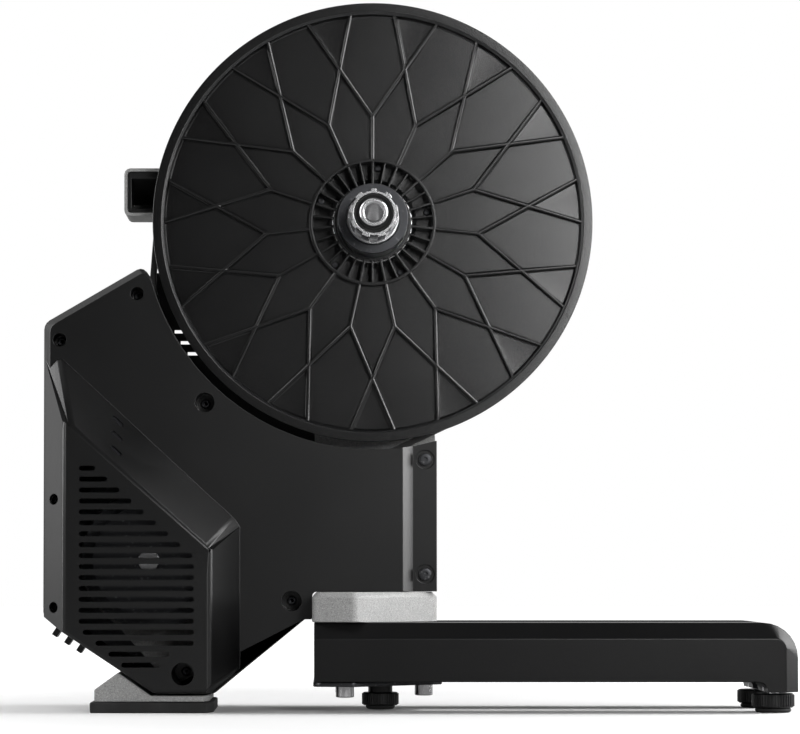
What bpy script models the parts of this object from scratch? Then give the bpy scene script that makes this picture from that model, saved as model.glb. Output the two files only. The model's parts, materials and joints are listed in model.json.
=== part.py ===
"""A direct-drive bike trainer, built piece by piece in metres, +Z up.

The script's own frame has X forward from the axle, Y towards the non-drive side from the
bike's centre plane and Z up from the floor. One empty carries everything and moves the
bounding box's centre over the origin. Each moving body has an empty on its joint's axis.
"""

import math

import bmesh
import bpy
from mathutils import Matrix, Vector

# Clearances, and how far a cutter runs past a face or joined solids sink into each other
GAP = 0.0003
FIT_GAP = 0.001
RUNNING_GAP = 0.002
CUT_OVERRUN = 0.002
JOIN_OVERLAP = 0.001

# Axle and hub
AXLE_HEIGHT = 0.3535
DROPOUT_SPACING = 0.142
THRU_AXLE_BORE_RADIUS = 0.0061
AXLE_TUBE_RADIUS = 0.0085
END_CAP_RADIUS = 0.00995
END_CAP_MOUTH_RADIUS = 0.0075
END_CAP_LENGTH = 0.013
END_CAP_SEAT = 0.007
LEFT_CAP_SLEEVE = 0.0015
AXLE_NUT_RADIUS = 0.0135
AXLE_NUT_THICKNESS = 0.005
FREEHUB_CREST_RADIUS = 0.0175
FREEHUB_ROOT_RADIUS = 0.0159
FREEHUB_SPLINES = 9
FREEHUB_CREST_SHARE = 0.25
FREEHUB_NARROW_CREST_SHARE = 0.17
FREEHUB_BORE_RADIUS = 0.0142
FREEHUB_END_Y = -0.066
FREEHUB_ROOT_Y = -0.0345
FREEHUB_TAIL_Y = -0.0235
FREEHUB_SEAL_DEPTH = 0.004
HUB_RING_OUTER_RADIUS = 0.0252
HUB_RING_INNER_RADIUS = 0.0192
HUB_RING_THICKNESS = 0.0035
HUB_FRONT_Y = -0.033
HUB_SHELL_RADIUS = 0.0242
HUB_FLANGE_RADIUS = 0.0415
HUB_FLANGE_THICKNESS = 0.005
BEARING_RADIUS = 0.015
BEARING_WIDTH = 0.007
HUB_BEARING_NEAR_Y = -0.012
HUB_BEARING_INSET = 0.001

# Driven pulley
PULLEY_RADIUS = 0.1595
PULLEY_FRONT_Y = -0.011
PULLEY_BACK_Y = 0.017
PULLEY_LIP_THICKNESS = 0.0055
PULLEY_LIP_HEIGHT = 0.0055
PULLEY_BACK_LIP_HEIGHT = 0.0030
PULLEY_BACK_LIP_THICKNESS = 0.0025
PULLEY_RIM_WALL = 0.0028
PULLEY_RIM_BEVEL = 0.0014
PULLEY_LATTICE_SINK = 0.0016
PULLEY_FLOOR_Y = -0.0035
PULLEY_FLOOR_THICKNESS = 0.004
PULLEY_RING_RADIUS = 0.0461
PULLEY_RING_WALL = 0.0024
PULLEY_SLEEVE_WALL = 0.0025
PULLEY_POCKET_BACK_Y = 0.0075
RIB_COUNT = 15
RIB_WIDTH = 0.0025
RIB_FRONT_Y = -0.0095
RIB_NODE_RADIUS = 0.0775
RIB_BRANCH_ANGLE = math.radians(17.98)
RING_STEP = 0.0003
LATTICE_BITE = 0.7
PULLEY_GROOVE_RADIUS = PULLEY_RADIUS - PULLEY_LIP_HEIGHT
PULLEY_BACK_LIP_RADIUS = PULLEY_GROOVE_RADIUS + PULLEY_BACK_LIP_HEIGHT
PULLEY_RIM_WALL_INNER_RADIUS = PULLEY_GROOVE_RADIUS - PULLEY_RIM_WALL
PULLEY_RIM_INNER_RADIUS = PULLEY_RIM_WALL_INNER_RADIUS + PULLEY_RIM_BEVEL

# Belt drive
BELT_WIDTH = 0.015
BELT_THICKNESS = 0.004
BELT_CENTRE_Y = 0.00575
FLYWHEEL_X = -0.160
FLYWHEEL_Z = 0.108
SHAFT_PULLEY_RADIUS = 0.013
SHAFT_PULLEY_FLANGE_RADIUS = 0.0175
SHAFT_PULLEY_FLANGE_THICKNESS = 0.0015
SHAFT_RADIUS = 0.0075
IDLER_REACH = 0.056
IDLER_X = FLYWHEEL_X + IDLER_REACH
IDLER_Z = 0.112
IDLER_RADIUS = 0.016
IDLER_BORE_RADIUS = 0.0063
IDLER_AXLE_RADIUS = 0.006
TENSIONER_THICKNESS = 0.004
TENSIONER_WIDTH = 0.022
TENSIONER_REACH = 0.044
TENSIONER_PIVOT_X = IDLER_X + TENSIONER_REACH
TENSIONER_PIVOT_Z = 0.128

# Flywheel and brake
FLYWHEEL_RADIUS = 0.071
FLYWHEEL_WIDTH = 0.030
FLYWHEEL_RIM = 0.024
FLYWHEEL_WEB = 0.018
FLYWHEEL_BEARING_RADIUS = 0.0175
BRAKE_ROTOR_RADIUS = 0.040
BRAKE_ROTOR_THICKNESS = 0.005
BRAKE_ROTOR_FRONT_Y = -0.042
BRAKE_YOKE_RADIUS = 0.050
BRAKE_YOKE_THICKNESS = 0.004
BRAKE_YOKE_BACK_Y = -0.008
BRAKE_COIL_RADIUS = 0.009
BRAKE_COIL_COUNT = 6
BRAKE_COIL_CIRCLE = 0.029
YOKE_BORE_RADIUS = 0.016
STANDOFF_RADIUS = 0.004
STANDOFF_CIRCLE = 0.046
STANDOFF_ANGLES = (60.0, 180.0, 290.0)
FIRST_COIL_ANGLE = 30.0
SHAFT_PROUD = 0.001
SHAFT_NUT_RADIUS = 0.011
SHAFT_NUT_THICKNESS = 0.006

# Frame casting
FRAME_NEAR_Y = 0.020
FRAME_FAR_Y = 0.036
FRAME_BOSS_RADIUS = 0.026
FRAME_BOSS_FAR_Y = 0.060
FRAME_BOSS_MARGIN = 0.006
FRAME_BOSS_ROOT = 0.004
FRAME_BOSS_ANGLES = (math.radians(8.6), math.radians(99.0))
FRAME_HOUSING_RADIUS = 0.054
FRAME_HOUSING_ANGLES = (math.radians(62.0), math.radians(240.0))
FRAME_FOOT_BACK_X = -0.037
FRAME_CASTING_GAP = 0.0015
UPRIGHT_BACK_X = -0.042
UPRIGHT_SHOULDER_RISE = 0.024
ARM_ROOT_X = -0.054
ARM_ROOT_DROP = 0.032
ARM_FILLET_DROP = 0.055
ARM_END_INSET = 0.006
HOUSING_FILLET_RISE = 0.023
HOUSING_SHOULDER_X = -0.072
HOUSING_SHOULDER_DROP = 0.004
FRONT_BOX_BACK_X = 0.0275
LUG_REACH = 0.010
LUG_LENGTH = 0.030
LUG_BACK_X = FLYWHEEL_X + LUG_REACH
LUG_FRONT_X = LUG_BACK_X + LUG_LENGTH
LUG_HEIGHT = 0.004
LUG_FILLET = 0.006
HANDLE_BACK_X = -0.1822
HANDLE_FRONT_X = -0.146
HANDLE_RISE = 0.0077
HANDLE_HEIGHT = 0.0354
HANDLE_BOTTOM_Z = AXLE_HEIGHT + HANDLE_RISE
HANDLE_TOP_Z = HANDLE_BOTTOM_Z + HANDLE_HEIGHT
HANDLE_FAR_Y = 0.092
HANDLE_TAPER_START = 0.030
HANDLE_TAPER_RISE = 0.0065
HANDLE_WALL = 0.0026
HANDLE_HOLLOW_DEPTH = 0.028
HANDLE_CORNER = 0.0045
PLUG_RIM = 0.0030
PLUG_DEPTH = 0.021
PLUG_CEILING_DROP = 0.019

# Casing
CASING_WALL = 0.003
CASING_FLYWHEEL_GAP = 0.0037
CASING_FRONT_X = 0.0463
CASING_ARC_GAP = 0.006
CASING_TOP_REACH = 0.0009
CASING_TOP_DROP = 0.0325
CASING_TOP_FALL = 0.0415
CASING_ARC_RADIUS = PULLEY_RADIUS + CASING_ARC_GAP
CASING_BACK_X = FLYWHEEL_X - FLYWHEEL_RADIUS - CASING_WALL - CASING_FLYWHEEL_GAP
CASING_TOP_X = -(CASING_ARC_RADIUS + CASING_TOP_REACH)
CASING_TOP_Z = AXLE_HEIGHT - CASING_TOP_DROP
CASING_TOP_BACK_Z = CASING_TOP_Z - CASING_TOP_FALL
CASING_ARC_TOP_ANGLE = math.radians(194.35)
CASING_SLOPE_TOP_Z = 0.0672
CASING_FLOOR_Z = 0.0125
CASING_FLOOR_REACH = 0.0045
CASING_FLOOR_LENGTH = 0.0415
CASING_FLOOR_BACK_X = FLYWHEEL_X + CASING_FLOOR_REACH
CASING_FLOOR_FRONT_X = CASING_FLOOR_BACK_X + CASING_FLOOR_LENGTH
CASING_LEDGE_BACK_X = -0.0490
CASING_LEDGE_Z = 0.0657
CASING_STEP_X = -0.0440
CASING_STEP_Z = 0.0857
CASING_FACE_Y = -0.020
CASING_BEVEL = 0.005
CASING_BEVEL_Y = -0.012
CASING_SPLIT_Y = 0.0097
CASING_LEFT_FACE_Y = 0.080
CASING_LEFT_BEVEL_Y = 0.068
CASING_LEFT_BEVEL = 0.010
CASING_SHORT_EDGE_SHARE = 0.2
CASING_CORNER_RADII = (0.006, 0.008, 0.008, 0.006, 0.006, 0.0, 0.0, 0.004, 0.0)
CASING_INNER_CORNER_SHARE = 0.8
CASING_WAY_EDGE = 0.004
LEFT_POST_RADIUS = 0.0055
LEFT_LUG_HALF_HEIGHT = 0.005
LEFT_LUG_REACH = 0.0035
LEFT_LUG_FAR_Y = 0.030
FLANGE_STEP_X = 0.029
FLANGE_CHAMFER_X = 0.0215
LEFT_CHAMFER_X = -0.020
# A web behind the pulley's rim closes the hollow edge; three slots show light through it
RIM_WEB_NEAR_Y = 0.0380
RIM_WEB_THICKNESS = 0.0025
RIM_WEB_DEPTH = 0.0155
RIM_WEB_FRONT_X = -0.030
RIM_SLOT_TOP_FALL = 0.0436
RIM_SLOT_PITCH = 0.00815
RIM_SLOT_HEIGHT = 0.0025
RIM_SLOT_EDGE = 0.0010
RIM_SLOT_LENGTH = 0.0105
RIM_SLOT_COUNT = 3
FLANGE_Y = -0.0122
STRIP_ROOT = 0.004
STRIP_ROOT_SHARES = (0.3, 1.2)

# Vented bulge of the drive side cover
POD_FACE_Y = -0.057
POD_FACE_BACK_INSET = 0.0178
POD_FACE_BACK_X = CASING_BACK_X + POD_FACE_BACK_INSET
POD_FACE_FRONT_INSET = 0.0013
POD_FACE_FRONT_X = CASING_FLOOR_FRONT_X - POD_FACE_FRONT_INSET
POD_EDGE_TOP_INSET = 0.0238
POD_EDGE_TOP_FALL = 0.0503
POD_EDGE_LOW_INSET = 0.0018
POD_EDGE_LOW_X = POD_FACE_FRONT_X - POD_EDGE_LOW_INSET
POD_EDGE_LOW_Z = 0.1176
POD_CREASE_TOP_INSET = 0.0122
POD_CREASE_TOP_DROP = 0.0247
POD_CREASE_TOP_X = CASING_BACK_X + POD_CREASE_TOP_INSET
POD_CREASE_TOP_Z = CASING_TOP_BACK_Z - POD_CREASE_TOP_DROP
POD_EDGE_TOP_X = CASING_BACK_X + POD_EDGE_TOP_INSET
POD_EDGE_TOP_Z = POD_CREASE_TOP_Z - POD_EDGE_TOP_FALL
POD_CREASE_LOW_REACH = 0.0158
POD_CREASE_LOW_X = POD_FACE_FRONT_X + POD_CREASE_LOW_REACH
POD_CREASE_LOW_Z = 0.1380
POD_CREASE_FRONT_REACH = 0.0195
POD_CREASE_FRONT_X = POD_FACE_FRONT_X + POD_CREASE_FRONT_REACH
POD_CREASE_FRONT_Z = 0.1322
POD_SETBACK = 0.0004
POD_FACE_INSET = 0.0016
POD_FRONT_DROP = 0.0035
POD_FOOT_CORNER_X = 0.004
POD_FOOT_CORNER_Z = 0.005
POD_ROOT_DEPTH = 0.006
POD_ROOT_INSET = 0.0015
VENT_TOP_DROP = 0.0313
VENT_FLOOR_MARGIN = 0.018
VENT_PITCH = 0.00773
VENT_HEIGHT = 0.0036
VENT_BACK_MARGIN = 0.0112
VENT_FRONT_MARGIN = 0.0116
VENT_DIAGONAL_MARGIN = 0.018
VENT_SLOPE_MARGIN = 0.0202
VENT_SCREW_CLEARANCE = 0.017
LIGHT_COUNT = 3
LIGHT_LENGTH = 0.0107
LIGHT_WIDTH = 0.0043
LIGHT_PITCH = 0.011
LIGHT_INSET = 0.0424
LIGHT_RISE = 0.0009
LIGHT_DEPTH = 0.0046
LIGHT_SUNK = 0.0008
LIGHT_GUIDE_THICKNESS = 0.0015
COMB_TOOTH_COUNT = 3
COMB_TOOTH_WIDTH = 0.0043
COMB_TOOTH_LENGTH = 0.007
COMB_INSET = 0.0115
COMB_PITCH = 0.0105
COMB_NEAR_Y = -0.008
COMB_FAR_Y = 0.006
COMB_BITE = 0.6

# One cover screw stands off the hollow edge under the pulley, two in the bevel at the back
ARC_SCREW_ANGLE = math.radians(227.4)
ARC_SCREW_RADIUS = CASING_ARC_RADIUS + 0.0134
ARC_SCREW_X = ARC_SCREW_RADIUS * math.cos(ARC_SCREW_ANGLE)
ARC_SCREW_Z = AXLE_HEIGHT + ARC_SCREW_RADIUS * math.sin(ARC_SCREW_ANGLE)
BEVEL_SCREW_X = CASING_BACK_X + 0.0094
# Cover screws: X, Z, recess radius and the Y of the recess mouth's tube
COVER_SCREWS = (
    (CASING_BACK_X + 0.0119, CASING_TOP_BACK_Z - 0.0125, 0.0048, CASING_FACE_Y),
    (CASING_TOP_X - 0.0036, CASING_TOP_Z - 0.0205, 0.0047, CASING_FACE_Y),
    (BEVEL_SCREW_X, 0.1517, 0.0040, CASING_BEVEL_Y),
    (BEVEL_SCREW_X, CASING_SLOPE_TOP_Z + 0.0073, 0.0040, CASING_BEVEL_Y),
    (ARC_SCREW_X, ARC_SCREW_Z, 0.0070, CASING_FACE_Y),
    (CASING_STEP_X - 0.0145, CASING_LEDGE_Z + 0.0133, 0.0072, CASING_FACE_Y),
    (CASING_FLOOR_FRONT_X - 0.0210, CASING_FLOOR_Z + 0.0152, 0.0081, POD_FACE_Y),
)
BOSS_WALL = 0.002
BEVEL_BOSS_WALL = 0.0032
SCREW_SEAT_Y = 0.001
SCREW_SHANK_RADIUS = 0.0019
FLANGE_SCREW_X = 0.0378
FLANGE_SCREW_RISE = 0.0125
FLANGE_SCREW_ARC_GAP = 0.0114
FLANGE_SCREW_HEAD_RADIUS = 0.00525
FLANGE_SCREW_HEAD_HEIGHT = 0.003
FLANGE_SCREW_RADIUS = 0.003
FLANGE_SCREW_LENGTH = 0.014
FLANGE_SOCKET_RADIUS = 0.0023
FLANGE_SOCKET_DEPTH = 0.0016
FLANGE_RECESS_RADIUS = 0.0068
FLANGE_RECESS_DEPTH = 0.0012

# Base, legs and clamp plate
BASE_BOTTOM_Z = 0.0643
BASE_BACK_X = -0.0437
BASE_BACK_Y = 0.057
BASE_CORNER_X = -0.0134
BASE_CORNER_Y = 0.063
BASE_NOSE_X = 0.0463
BASE_NOSE_Y = 0.009
BASE_CORNER_RADIUS = 0.007
BASE_NOSE_CORNER_SHARE = 0.6
BASE_BEVEL = 0.0035
LEG_PIVOT_X = -0.0203
LEG_PIVOT_Y = 0.038
LEG_WIDTH = 0.050
LEG_BACK_X = -0.0422
LEG_FRONT_X = 0.300
LEG_BOTTOM_Z = 0.0222
LEG_TOP_Z = 0.0640
LEG_FOOT_X = 0.2845
LEG_LIP_X = 0.2776
LEG_LIP_FILLET = 0.007
LEG_LIP_Z = 0.0150
LEG_CORNER_RADIUS = 0.025
LEG_CHAMFER = 0.0112
LEG_CHAMFER_Y = 0.008
LEG_CHAMFER_FRONT = 0.0096
LEG_FACE_CORNER_RADIUS = 0.007
LEG_WALL = 0.004
LEG_CAVITY_BACK_X = 0.000
LEG_CAVITY_FRONT_X = 0.262
LEG_SWING_DEGREES = 50.0
BUSHING_RADIUS = 0.009
BOLT_RADIUS = 0.004
BOLT_HEAD_RADIUS = 0.0065
BOLT_HEAD_HEIGHT = 0.008
BOLT_SOCKET_RADIUS = 0.0034
BOLT_SOCKET_DEPTH = 0.004
BOLT_REACH = 0.012
NOSE_BOLT_REACH = 0.0075
NOSE_BOLT_X = 0.0370
PLATE_THICKNESS = 0.0032
PLATE_NOSE_X = 0.0500
PLATE_BACK_X = -0.0428
PLATE_CORNER_Y = 0.0615

# Feet
FOOT_KNOB_RADIUS = 0.01515
FOOT_KNOB_BOTTOM_Z = 0.0036
FOOT_KNOB_TOP_Z = 0.0136
FOOT_PAD_RADIUS = 0.0128
FOOT_PAD_PIN_RADIUS = 0.003
FOOT_PAD_PIN_TOP_Z = 0.0080
FOOT_STUD_RADIUS = 0.004
FOOT_STUD_BOTTOM_Z = 0.0090
FOOT_STUD_TOP_Z = 0.0460
FOOT_NUT_RADIUS = 0.0075
FOOT_NUT_TOP_Z = 0.030
CENTRE_FOOT_X = 0.0056
CENTRE_KNOB_RADIUS = 0.01335
CENTRE_KNOB_TOP_Z = 0.0129
CENTRE_KNOB_BOTTOM_Z = 0.0035
CENTRE_PAD_BOTTOM_Z = 0.0008
CENTRE_PAD_RADIUS = 0.0105
CENTRE_BOSS_RADIUS = 0.00875
CENTRE_BOSS_BOTTOM_Z = 0.0105
CENTRE_KNOB_RECESS_Z = 0.0098
CENTRE_STUD_TOP_Z = 0.0520
CENTRE_STUD_POCKET = 0.004
KNOB_CHAMFER = 0.001
PAD_CHAMFER = 0.0012
REAR_PAD_HEIGHT = 0.0075
REAR_PAD_LENGTH = 0.0875
REAR_PAD_REACH = 0.0005
REAR_PAD_NEAR_FRONT_INSET = 0.0043
REAR_PAD_FRONT_X = CASING_FLOOR_FRONT_X + REAR_PAD_REACH
REAR_PAD_BACK_X = REAR_PAD_FRONT_X - REAR_PAD_LENGTH
REAR_PAD_NEAR_FRONT_X = REAR_PAD_FRONT_X - REAR_PAD_NEAR_FRONT_INSET
REAR_PAD_NEAR_Y = 0.052
REAR_PAD_SHOULDER_Y = 0.038
REAR_CASTING_INSET = 0.003
REAR_CASTING_STEP_Z = 0.0163
REAR_CASTING_PEAK_INSET = 0.020
REAR_CASTING_PEAK_X = REAR_PAD_BACK_X + REAR_CASTING_PEAK_INSET
REAR_CASTING_TOE = 0.004
REAR_CASTING_HEEL = 0.0008
REAR_BOLT_INSET = 0.008
REAR_BOLT_RADIUS = 0.0025
REAR_BOLT_HEAD_RADIUS = 0.006
REAR_BOLT_HEAD_HEIGHT = 0.0022
REAR_BOLT_TOP_Z = 0.026

# Electronics
BOARD_BACK_X = -0.070
BOARD_FRONT_X = -0.006
BOARD_STEP_CLEARANCE = 0.0143
BOARD_ARC_CLEARANCE = 0.025
BOARD_BOTTOM_Z = CASING_STEP_Z + BOARD_STEP_CLEARANCE
BOARD_TOP_Z = AXLE_HEIGHT - CASING_ARC_RADIUS - CASING_WALL - BOARD_ARC_CLEARANCE
BOARD_NEAR_Y = 0.050
BOARD_THICKNESS = 0.0016
BOARD_POST_RADIUS = 0.003
BOARD_POST_INSET = 0.006
BOARD_CHIP_HEIGHT = 0.006
# Chips: centre and half size as shares of the board's width and height, share of chip height
BOARD_CHIPS = (
    (0.20, 0.30, 0.188, 0.200, 0.3),
    (0.62, 0.35, 0.156, 0.133, 0.3),
    (0.35, 0.72, 0.125, 0.100, 1.0),
    (0.80, 0.74, 0.109, 0.150, 1.0),
)
INLET_FLANGE_RADIUS = 0.0085
INLET_BODY_RADIUS = 0.0060
INLET_BORE_RADIUS = 0.0042
INLET_END_WALL = 0.002
INLET_FLANGE_THICKNESS = 0.002
INLET_LENGTH = 0.015
INLET_Y = 0.028
INLET_Z = 0.112

FINE_STEPS = 96
CASING_ARC_STEPS = 18
ROUND_STEPS = 36
MIDDLE_STEPS = 24
SMALL_STEPS = 16
TINY_STEPS = 10


# Shells with many cuts, where the exact solver leaves open edges
MANIFOLD_PIECES = (
    "drive_side_cover", "left_side_cover", "frame_casting", "driven_pulley", "freehub_body",
)

# Scene set-up


def clear_scene():
    for thing in list(bpy.data.objects):
        bpy.data.objects.remove(thing, do_unlink=True)


def new_collection(name):
    collection = bpy.data.collections.new(name)
    bpy.context.scene.collection.children.link(collection)
    return collection


clear_scene()
TRAINER = new_collection("bike_trainer")
CUTTERS = new_collection("cutters")
EMPTY_PLACES = {}
MATERIALS = {}


def make_empty(name, place, parent=None):
    """An empty at a place given in the script's own frame."""
    empty = bpy.data.objects.new(name, None)
    empty.empty_display_size = 0.03
    TRAINER.objects.link(empty)
    EMPTY_PLACES[empty.name] = Vector(place)
    if parent is not None:
        empty.parent = parent
        empty.location = Vector(place) - EMPTY_PLACES[parent.name]
    return empty


def make_material(name, color, roughness, metallic=0.0):
    material = bpy.data.materials.new(name)
    material.use_nodes = True
    shader = material.node_tree.nodes["Principled BSDF"]
    shader.inputs["Base Color"].default_value = (*color, 1.0)
    shader.inputs["Roughness"].default_value = roughness
    shader.inputs["Metallic"].default_value = metallic
    material.diffuse_color = (*color, 1.0)
    MATERIALS[name] = material


make_material("grey_casting", (0.42, 0.43, 0.44), 0.5, 0.6)
make_material("black_moulding", (0.018, 0.018, 0.019), 0.45)
make_material("pulley_moulding", (0.016, 0.016, 0.017), 0.5)
make_material("black_paint", (0.022, 0.022, 0.023), 0.35)
make_material("bright_steel", (0.62, 0.62, 0.63), 0.25, 1.0)
make_material("dark_steel", (0.12, 0.12, 0.125), 0.4, 1.0)
make_material("bare_aluminium", (0.6, 0.61, 0.62), 0.35, 1.0)
make_material("black_rubber", (0.02, 0.02, 0.02), 0.8)
make_material("smoked_lens", (0.05, 0.05, 0.055), 0.15)
make_material("board_green", (0.02, 0.12, 0.05), 0.5)


def finish(piece, material, body):
    """Gives a piece its material and hangs it on its body's empty."""
    piece.data.materials.clear()
    piece.data.materials.append(MATERIALS[material])
    piece.parent = body
    piece.location -= EMPTY_PLACES[body.name]
    return piece


def as_cutter(piece):
    """Turns a piece into a hidden cutter."""
    if piece.name in TRAINER.objects:
        TRAINER.objects.unlink(piece)
    CUTTERS.objects.link(piece)
    piece.hide_render = True
    piece.display_type = "WIRE"
    piece.parent = ROOT
    return piece


def boolean(piece, cutter, operation):
    modifier = piece.modifiers.new(operation.lower(), "BOOLEAN")
    modifier.operation = operation
    modifier.object = as_cutter(cutter)
    if piece.name in MANIFOLD_PIECES:
        modifier.solver = "MANIFOLD"
    return piece


def cut(piece, *cutters):
    for cutter in cutters:
        boolean(piece, cutter, "DIFFERENCE")
    return piece


def fuse(piece, *others):
    for other in others:
        boolean(piece, other, "UNION")
    return piece


# Outlines in two dimensions


def arc(centre, radius, start, end, steps):
    """Points on an arc, both ends included, angles in radians."""
    points = []
    for step in range(steps + 1):
        angle = start + (end - start) * step / steps
        points.append((centre[0] + radius * math.cos(angle), centre[1] + radius * math.sin(angle)))
    return points


def rounded(corners, steps=3):
    """An outline whose corners (x, y, radius) are rounded; radius 0 stays sharp."""
    outline = []
    count = len(corners)
    for index, (x, y, radius) in enumerate(corners):
        here = Vector((x, y))
        before = Vector(corners[index - 1][:2]) - here
        after = Vector(corners[(index + 1) % count][:2]) - here
        if radius <= 0.0:
            outline.append((x, y))
            continue
        half_angle = before.angle(after) / 2
        reach = min(radius / math.tan(half_angle), before.length * 0.48, after.length * 0.48)
        radius = reach * math.tan(half_angle)
        before.normalize()
        after.normalize()
        centre = here + (before + after).normalized() * radius / math.sin(half_angle)
        start = here + before * reach - centre
        end = here + after * reach - centre
        turn = start.angle_signed(end)
        for step in range(steps + 1):
            spoke = start.copy()
            spoke.rotate(Matrix.Rotation(-turn * step / steps, 2))
            outline.append(tuple(centre + spoke))
    return outline


def offset(outline, distances):
    """An anticlockwise outline moved inwards, by one distance or one for each edge."""
    count = len(outline)
    if not hasattr(distances, "__len__"):
        distances = [distances] * count
    moved = []
    for index in range(count):
        here = Vector(outline[index])
        before = (here - Vector(outline[index - 1])).normalized()
        after = (Vector(outline[(index + 1) % count]) - here).normalized()
        normal_before = Vector((-before.y, before.x))
        normal_after = Vector((-after.y, after.x))
        first = distances[index - 1]
        second = distances[index]
        cross = normal_before.x * normal_after.y - normal_before.y * normal_after.x
        if abs(cross) < 1e-6:
            move = normal_before * (first + second) / 2
        else:
            move = Vector((
                (first * normal_after.y - second * normal_before.y) / cross,
                (second * normal_before.x - first * normal_after.x) / cross,
            ))
        moved.append(tuple(here + move))
    return moved


def obround(centre, length, width, steps=5):
    """A slot outline along x, with round ends."""
    reach = (length - width) / 2
    right = arc((centre[0] + reach, centre[1]), width / 2, -math.pi / 2, math.pi / 2, steps)
    left = arc((centre[0] - reach, centre[1]), width / 2, math.pi / 2, 3 * math.pi / 2, steps)
    return right + left


# Solids


def from_bmesh(name, mesh_builder, smooth=False):
    mesh = bpy.data.meshes.new(name)
    mesh_builder.to_mesh(mesh)
    mesh_builder.free()
    piece = bpy.data.objects.new(name, mesh)
    TRAINER.objects.link(piece)
    if smooth:
        mesh.shade_smooth()
        mesh.set_sharp_from_angle(angle=math.radians(35))
    return piece


def turned(name, profile, centre, axis="Y", steps=ROUND_STEPS):
    """A closed profile of (radius, place along the axis) swept round an axis.

    The profile runs down its outer side, from the far end to the near one.
    """
    touches_axis = profile[0][0] == 0.0 and profile[-1][0] == 0.0
    mesh = bpy.data.meshes.new(name)
    points = [(radius, 0.0, along) for radius, along in profile]
    edges = [(index, index + 1) for index in range(len(points) - 1)]
    if not touches_axis:
        edges.append((len(points) - 1, 0))
    mesh.from_pydata(points, edges, [])
    piece = bpy.data.objects.new(name, mesh)
    TRAINER.objects.link(piece)
    screw = piece.modifiers.new("turn", "SCREW")
    screw.axis = "Z"
    screw.angle = 2 * math.pi
    screw.steps = steps
    screw.render_steps = steps
    screw.use_merge_vertices = True
    screw.merge_threshold = 0.00001
    screw.use_smooth_shade = True
    if axis == "Y":
        piece.rotation_euler = (-math.pi / 2, 0.0, 0.0)
        piece.location = (centre[0], 0.0, centre[1])
    else:
        piece.location = (centre[0], centre[1], 0.0)
    return piece


def tube(name, outer, inner, low, high, centre, axis="Y", steps=ROUND_STEPS):
    profile = [(inner, high), (outer, high), (outer, low), (inner, low)]
    return turned(name, profile, centre, axis, steps)


def rod(name, radius, low, high, centre, axis="Y", steps=SMALL_STEPS):
    """A plain cylinder between two places along an axis."""
    builder = bmesh.new()
    bmesh.ops.create_cone(
        builder, cap_ends=True, segments=steps, radius1=radius, radius2=radius, depth=high - low
    )
    piece = from_bmesh(name, builder, smooth=True)
    middle = (high + low) / 2
    if axis == "Y":
        piece.rotation_euler = (-math.pi / 2, 0.0, 0.0)
        piece.location = (centre[0], middle, centre[1])
    else:
        piece.location = (centre[0], centre[1], middle)
    return piece


def box(name, low, high):
    builder = bmesh.new()
    bmesh.ops.create_cube(builder, size=1.0)
    size = Vector(high) - Vector(low)
    bmesh.ops.scale(builder, vec=size, verts=builder.verts)
    piece = from_bmesh(name, builder)
    piece.location = (Vector(high) + Vector(low)) / 2
    return piece


def slab(name, outlines, low, high, axis="Y"):
    """Flat outlines, the first outside and the rest holes or islands, given a thickness."""
    curve = bpy.data.curves.new(name, "CURVE")
    curve.dimensions = "2D"
    curve.fill_mode = "BOTH"
    curve.extrude = (high - low) / 2
    for outline in outlines:
        spline = curve.splines.new("POLY")
        spline.points.add(len(outline) - 1)
        for point, (x, y) in zip(spline.points, outline):
            point.co = (x, y, 0.0, 1.0)
        spline.use_cyclic_u = True
    drawn = bpy.data.objects.new(name + "_curve", curve)
    TRAINER.objects.link(drawn)
    middle = (high + low) / 2
    if axis == "Y":
        drawn.rotation_euler = (math.pi / 2, 0.0, 0.0)
        drawn.location = (0.0, middle, 0.0)
    else:
        drawn.location = (0.0, 0.0, middle)
    bpy.context.view_layer.update()
    seen = drawn.evaluated_get(bpy.context.evaluated_depsgraph_get())
    mesh = bpy.data.meshes.new_from_object(seen)
    builder = bmesh.new()
    builder.from_mesh(mesh)
    bpy.data.meshes.remove(mesh)
    bmesh.ops.transform(builder, matrix=drawn.matrix_world, verts=builder.verts)
    bmesh.ops.remove_doubles(builder, verts=builder.verts, dist=0.00001)
    bmesh.ops.recalc_face_normals(builder, faces=builder.faces)
    bpy.data.objects.remove(drawn, do_unlink=True)
    return from_bmesh(name, builder)


def loft(name, sections):
    """A closed solid through sections, each a ring of as many points in space."""
    builder = bmesh.new()
    rings = [[builder.verts.new(point) for point in ring] for ring in sections]
    count = len(rings[0])
    for near, far in zip(rings, rings[1:]):
        for index in range(count):
            after = (index + 1) % count
            builder.faces.new((near[index], near[after], far[after], far[index]))
    builder.faces.new(list(reversed(rings[0])))
    builder.faces.new(rings[-1])
    builder.normal_update()
    bmesh.ops.triangulate(builder, faces=builder.faces)
    bmesh.ops.recalc_face_normals(builder, faces=builder.faces)
    return from_bmesh(name, builder)


def at_y(outline, y):
    return [(x, y, z) for x, z in outline]


def at_z(outline, z):
    return [(x, y, z) for x, y in outline]


def joined(name, pieces):
    """Separate solids gathered in one object, which stay separate bodies."""
    bpy.context.view_layer.update()
    graph = bpy.context.evaluated_depsgraph_get()
    builder = bmesh.new()
    for piece in pieces:
        mesh = bpy.data.meshes.new_from_object(piece.evaluated_get(graph))
        mesh.transform(piece.matrix_world)
        builder.from_mesh(mesh)
        bpy.data.meshes.remove(mesh)
    for piece in pieces:
        bpy.data.objects.remove(piece, do_unlink=True)
    return from_bmesh(name, builder)


# The carrier of everything and one empty for each joint

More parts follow.
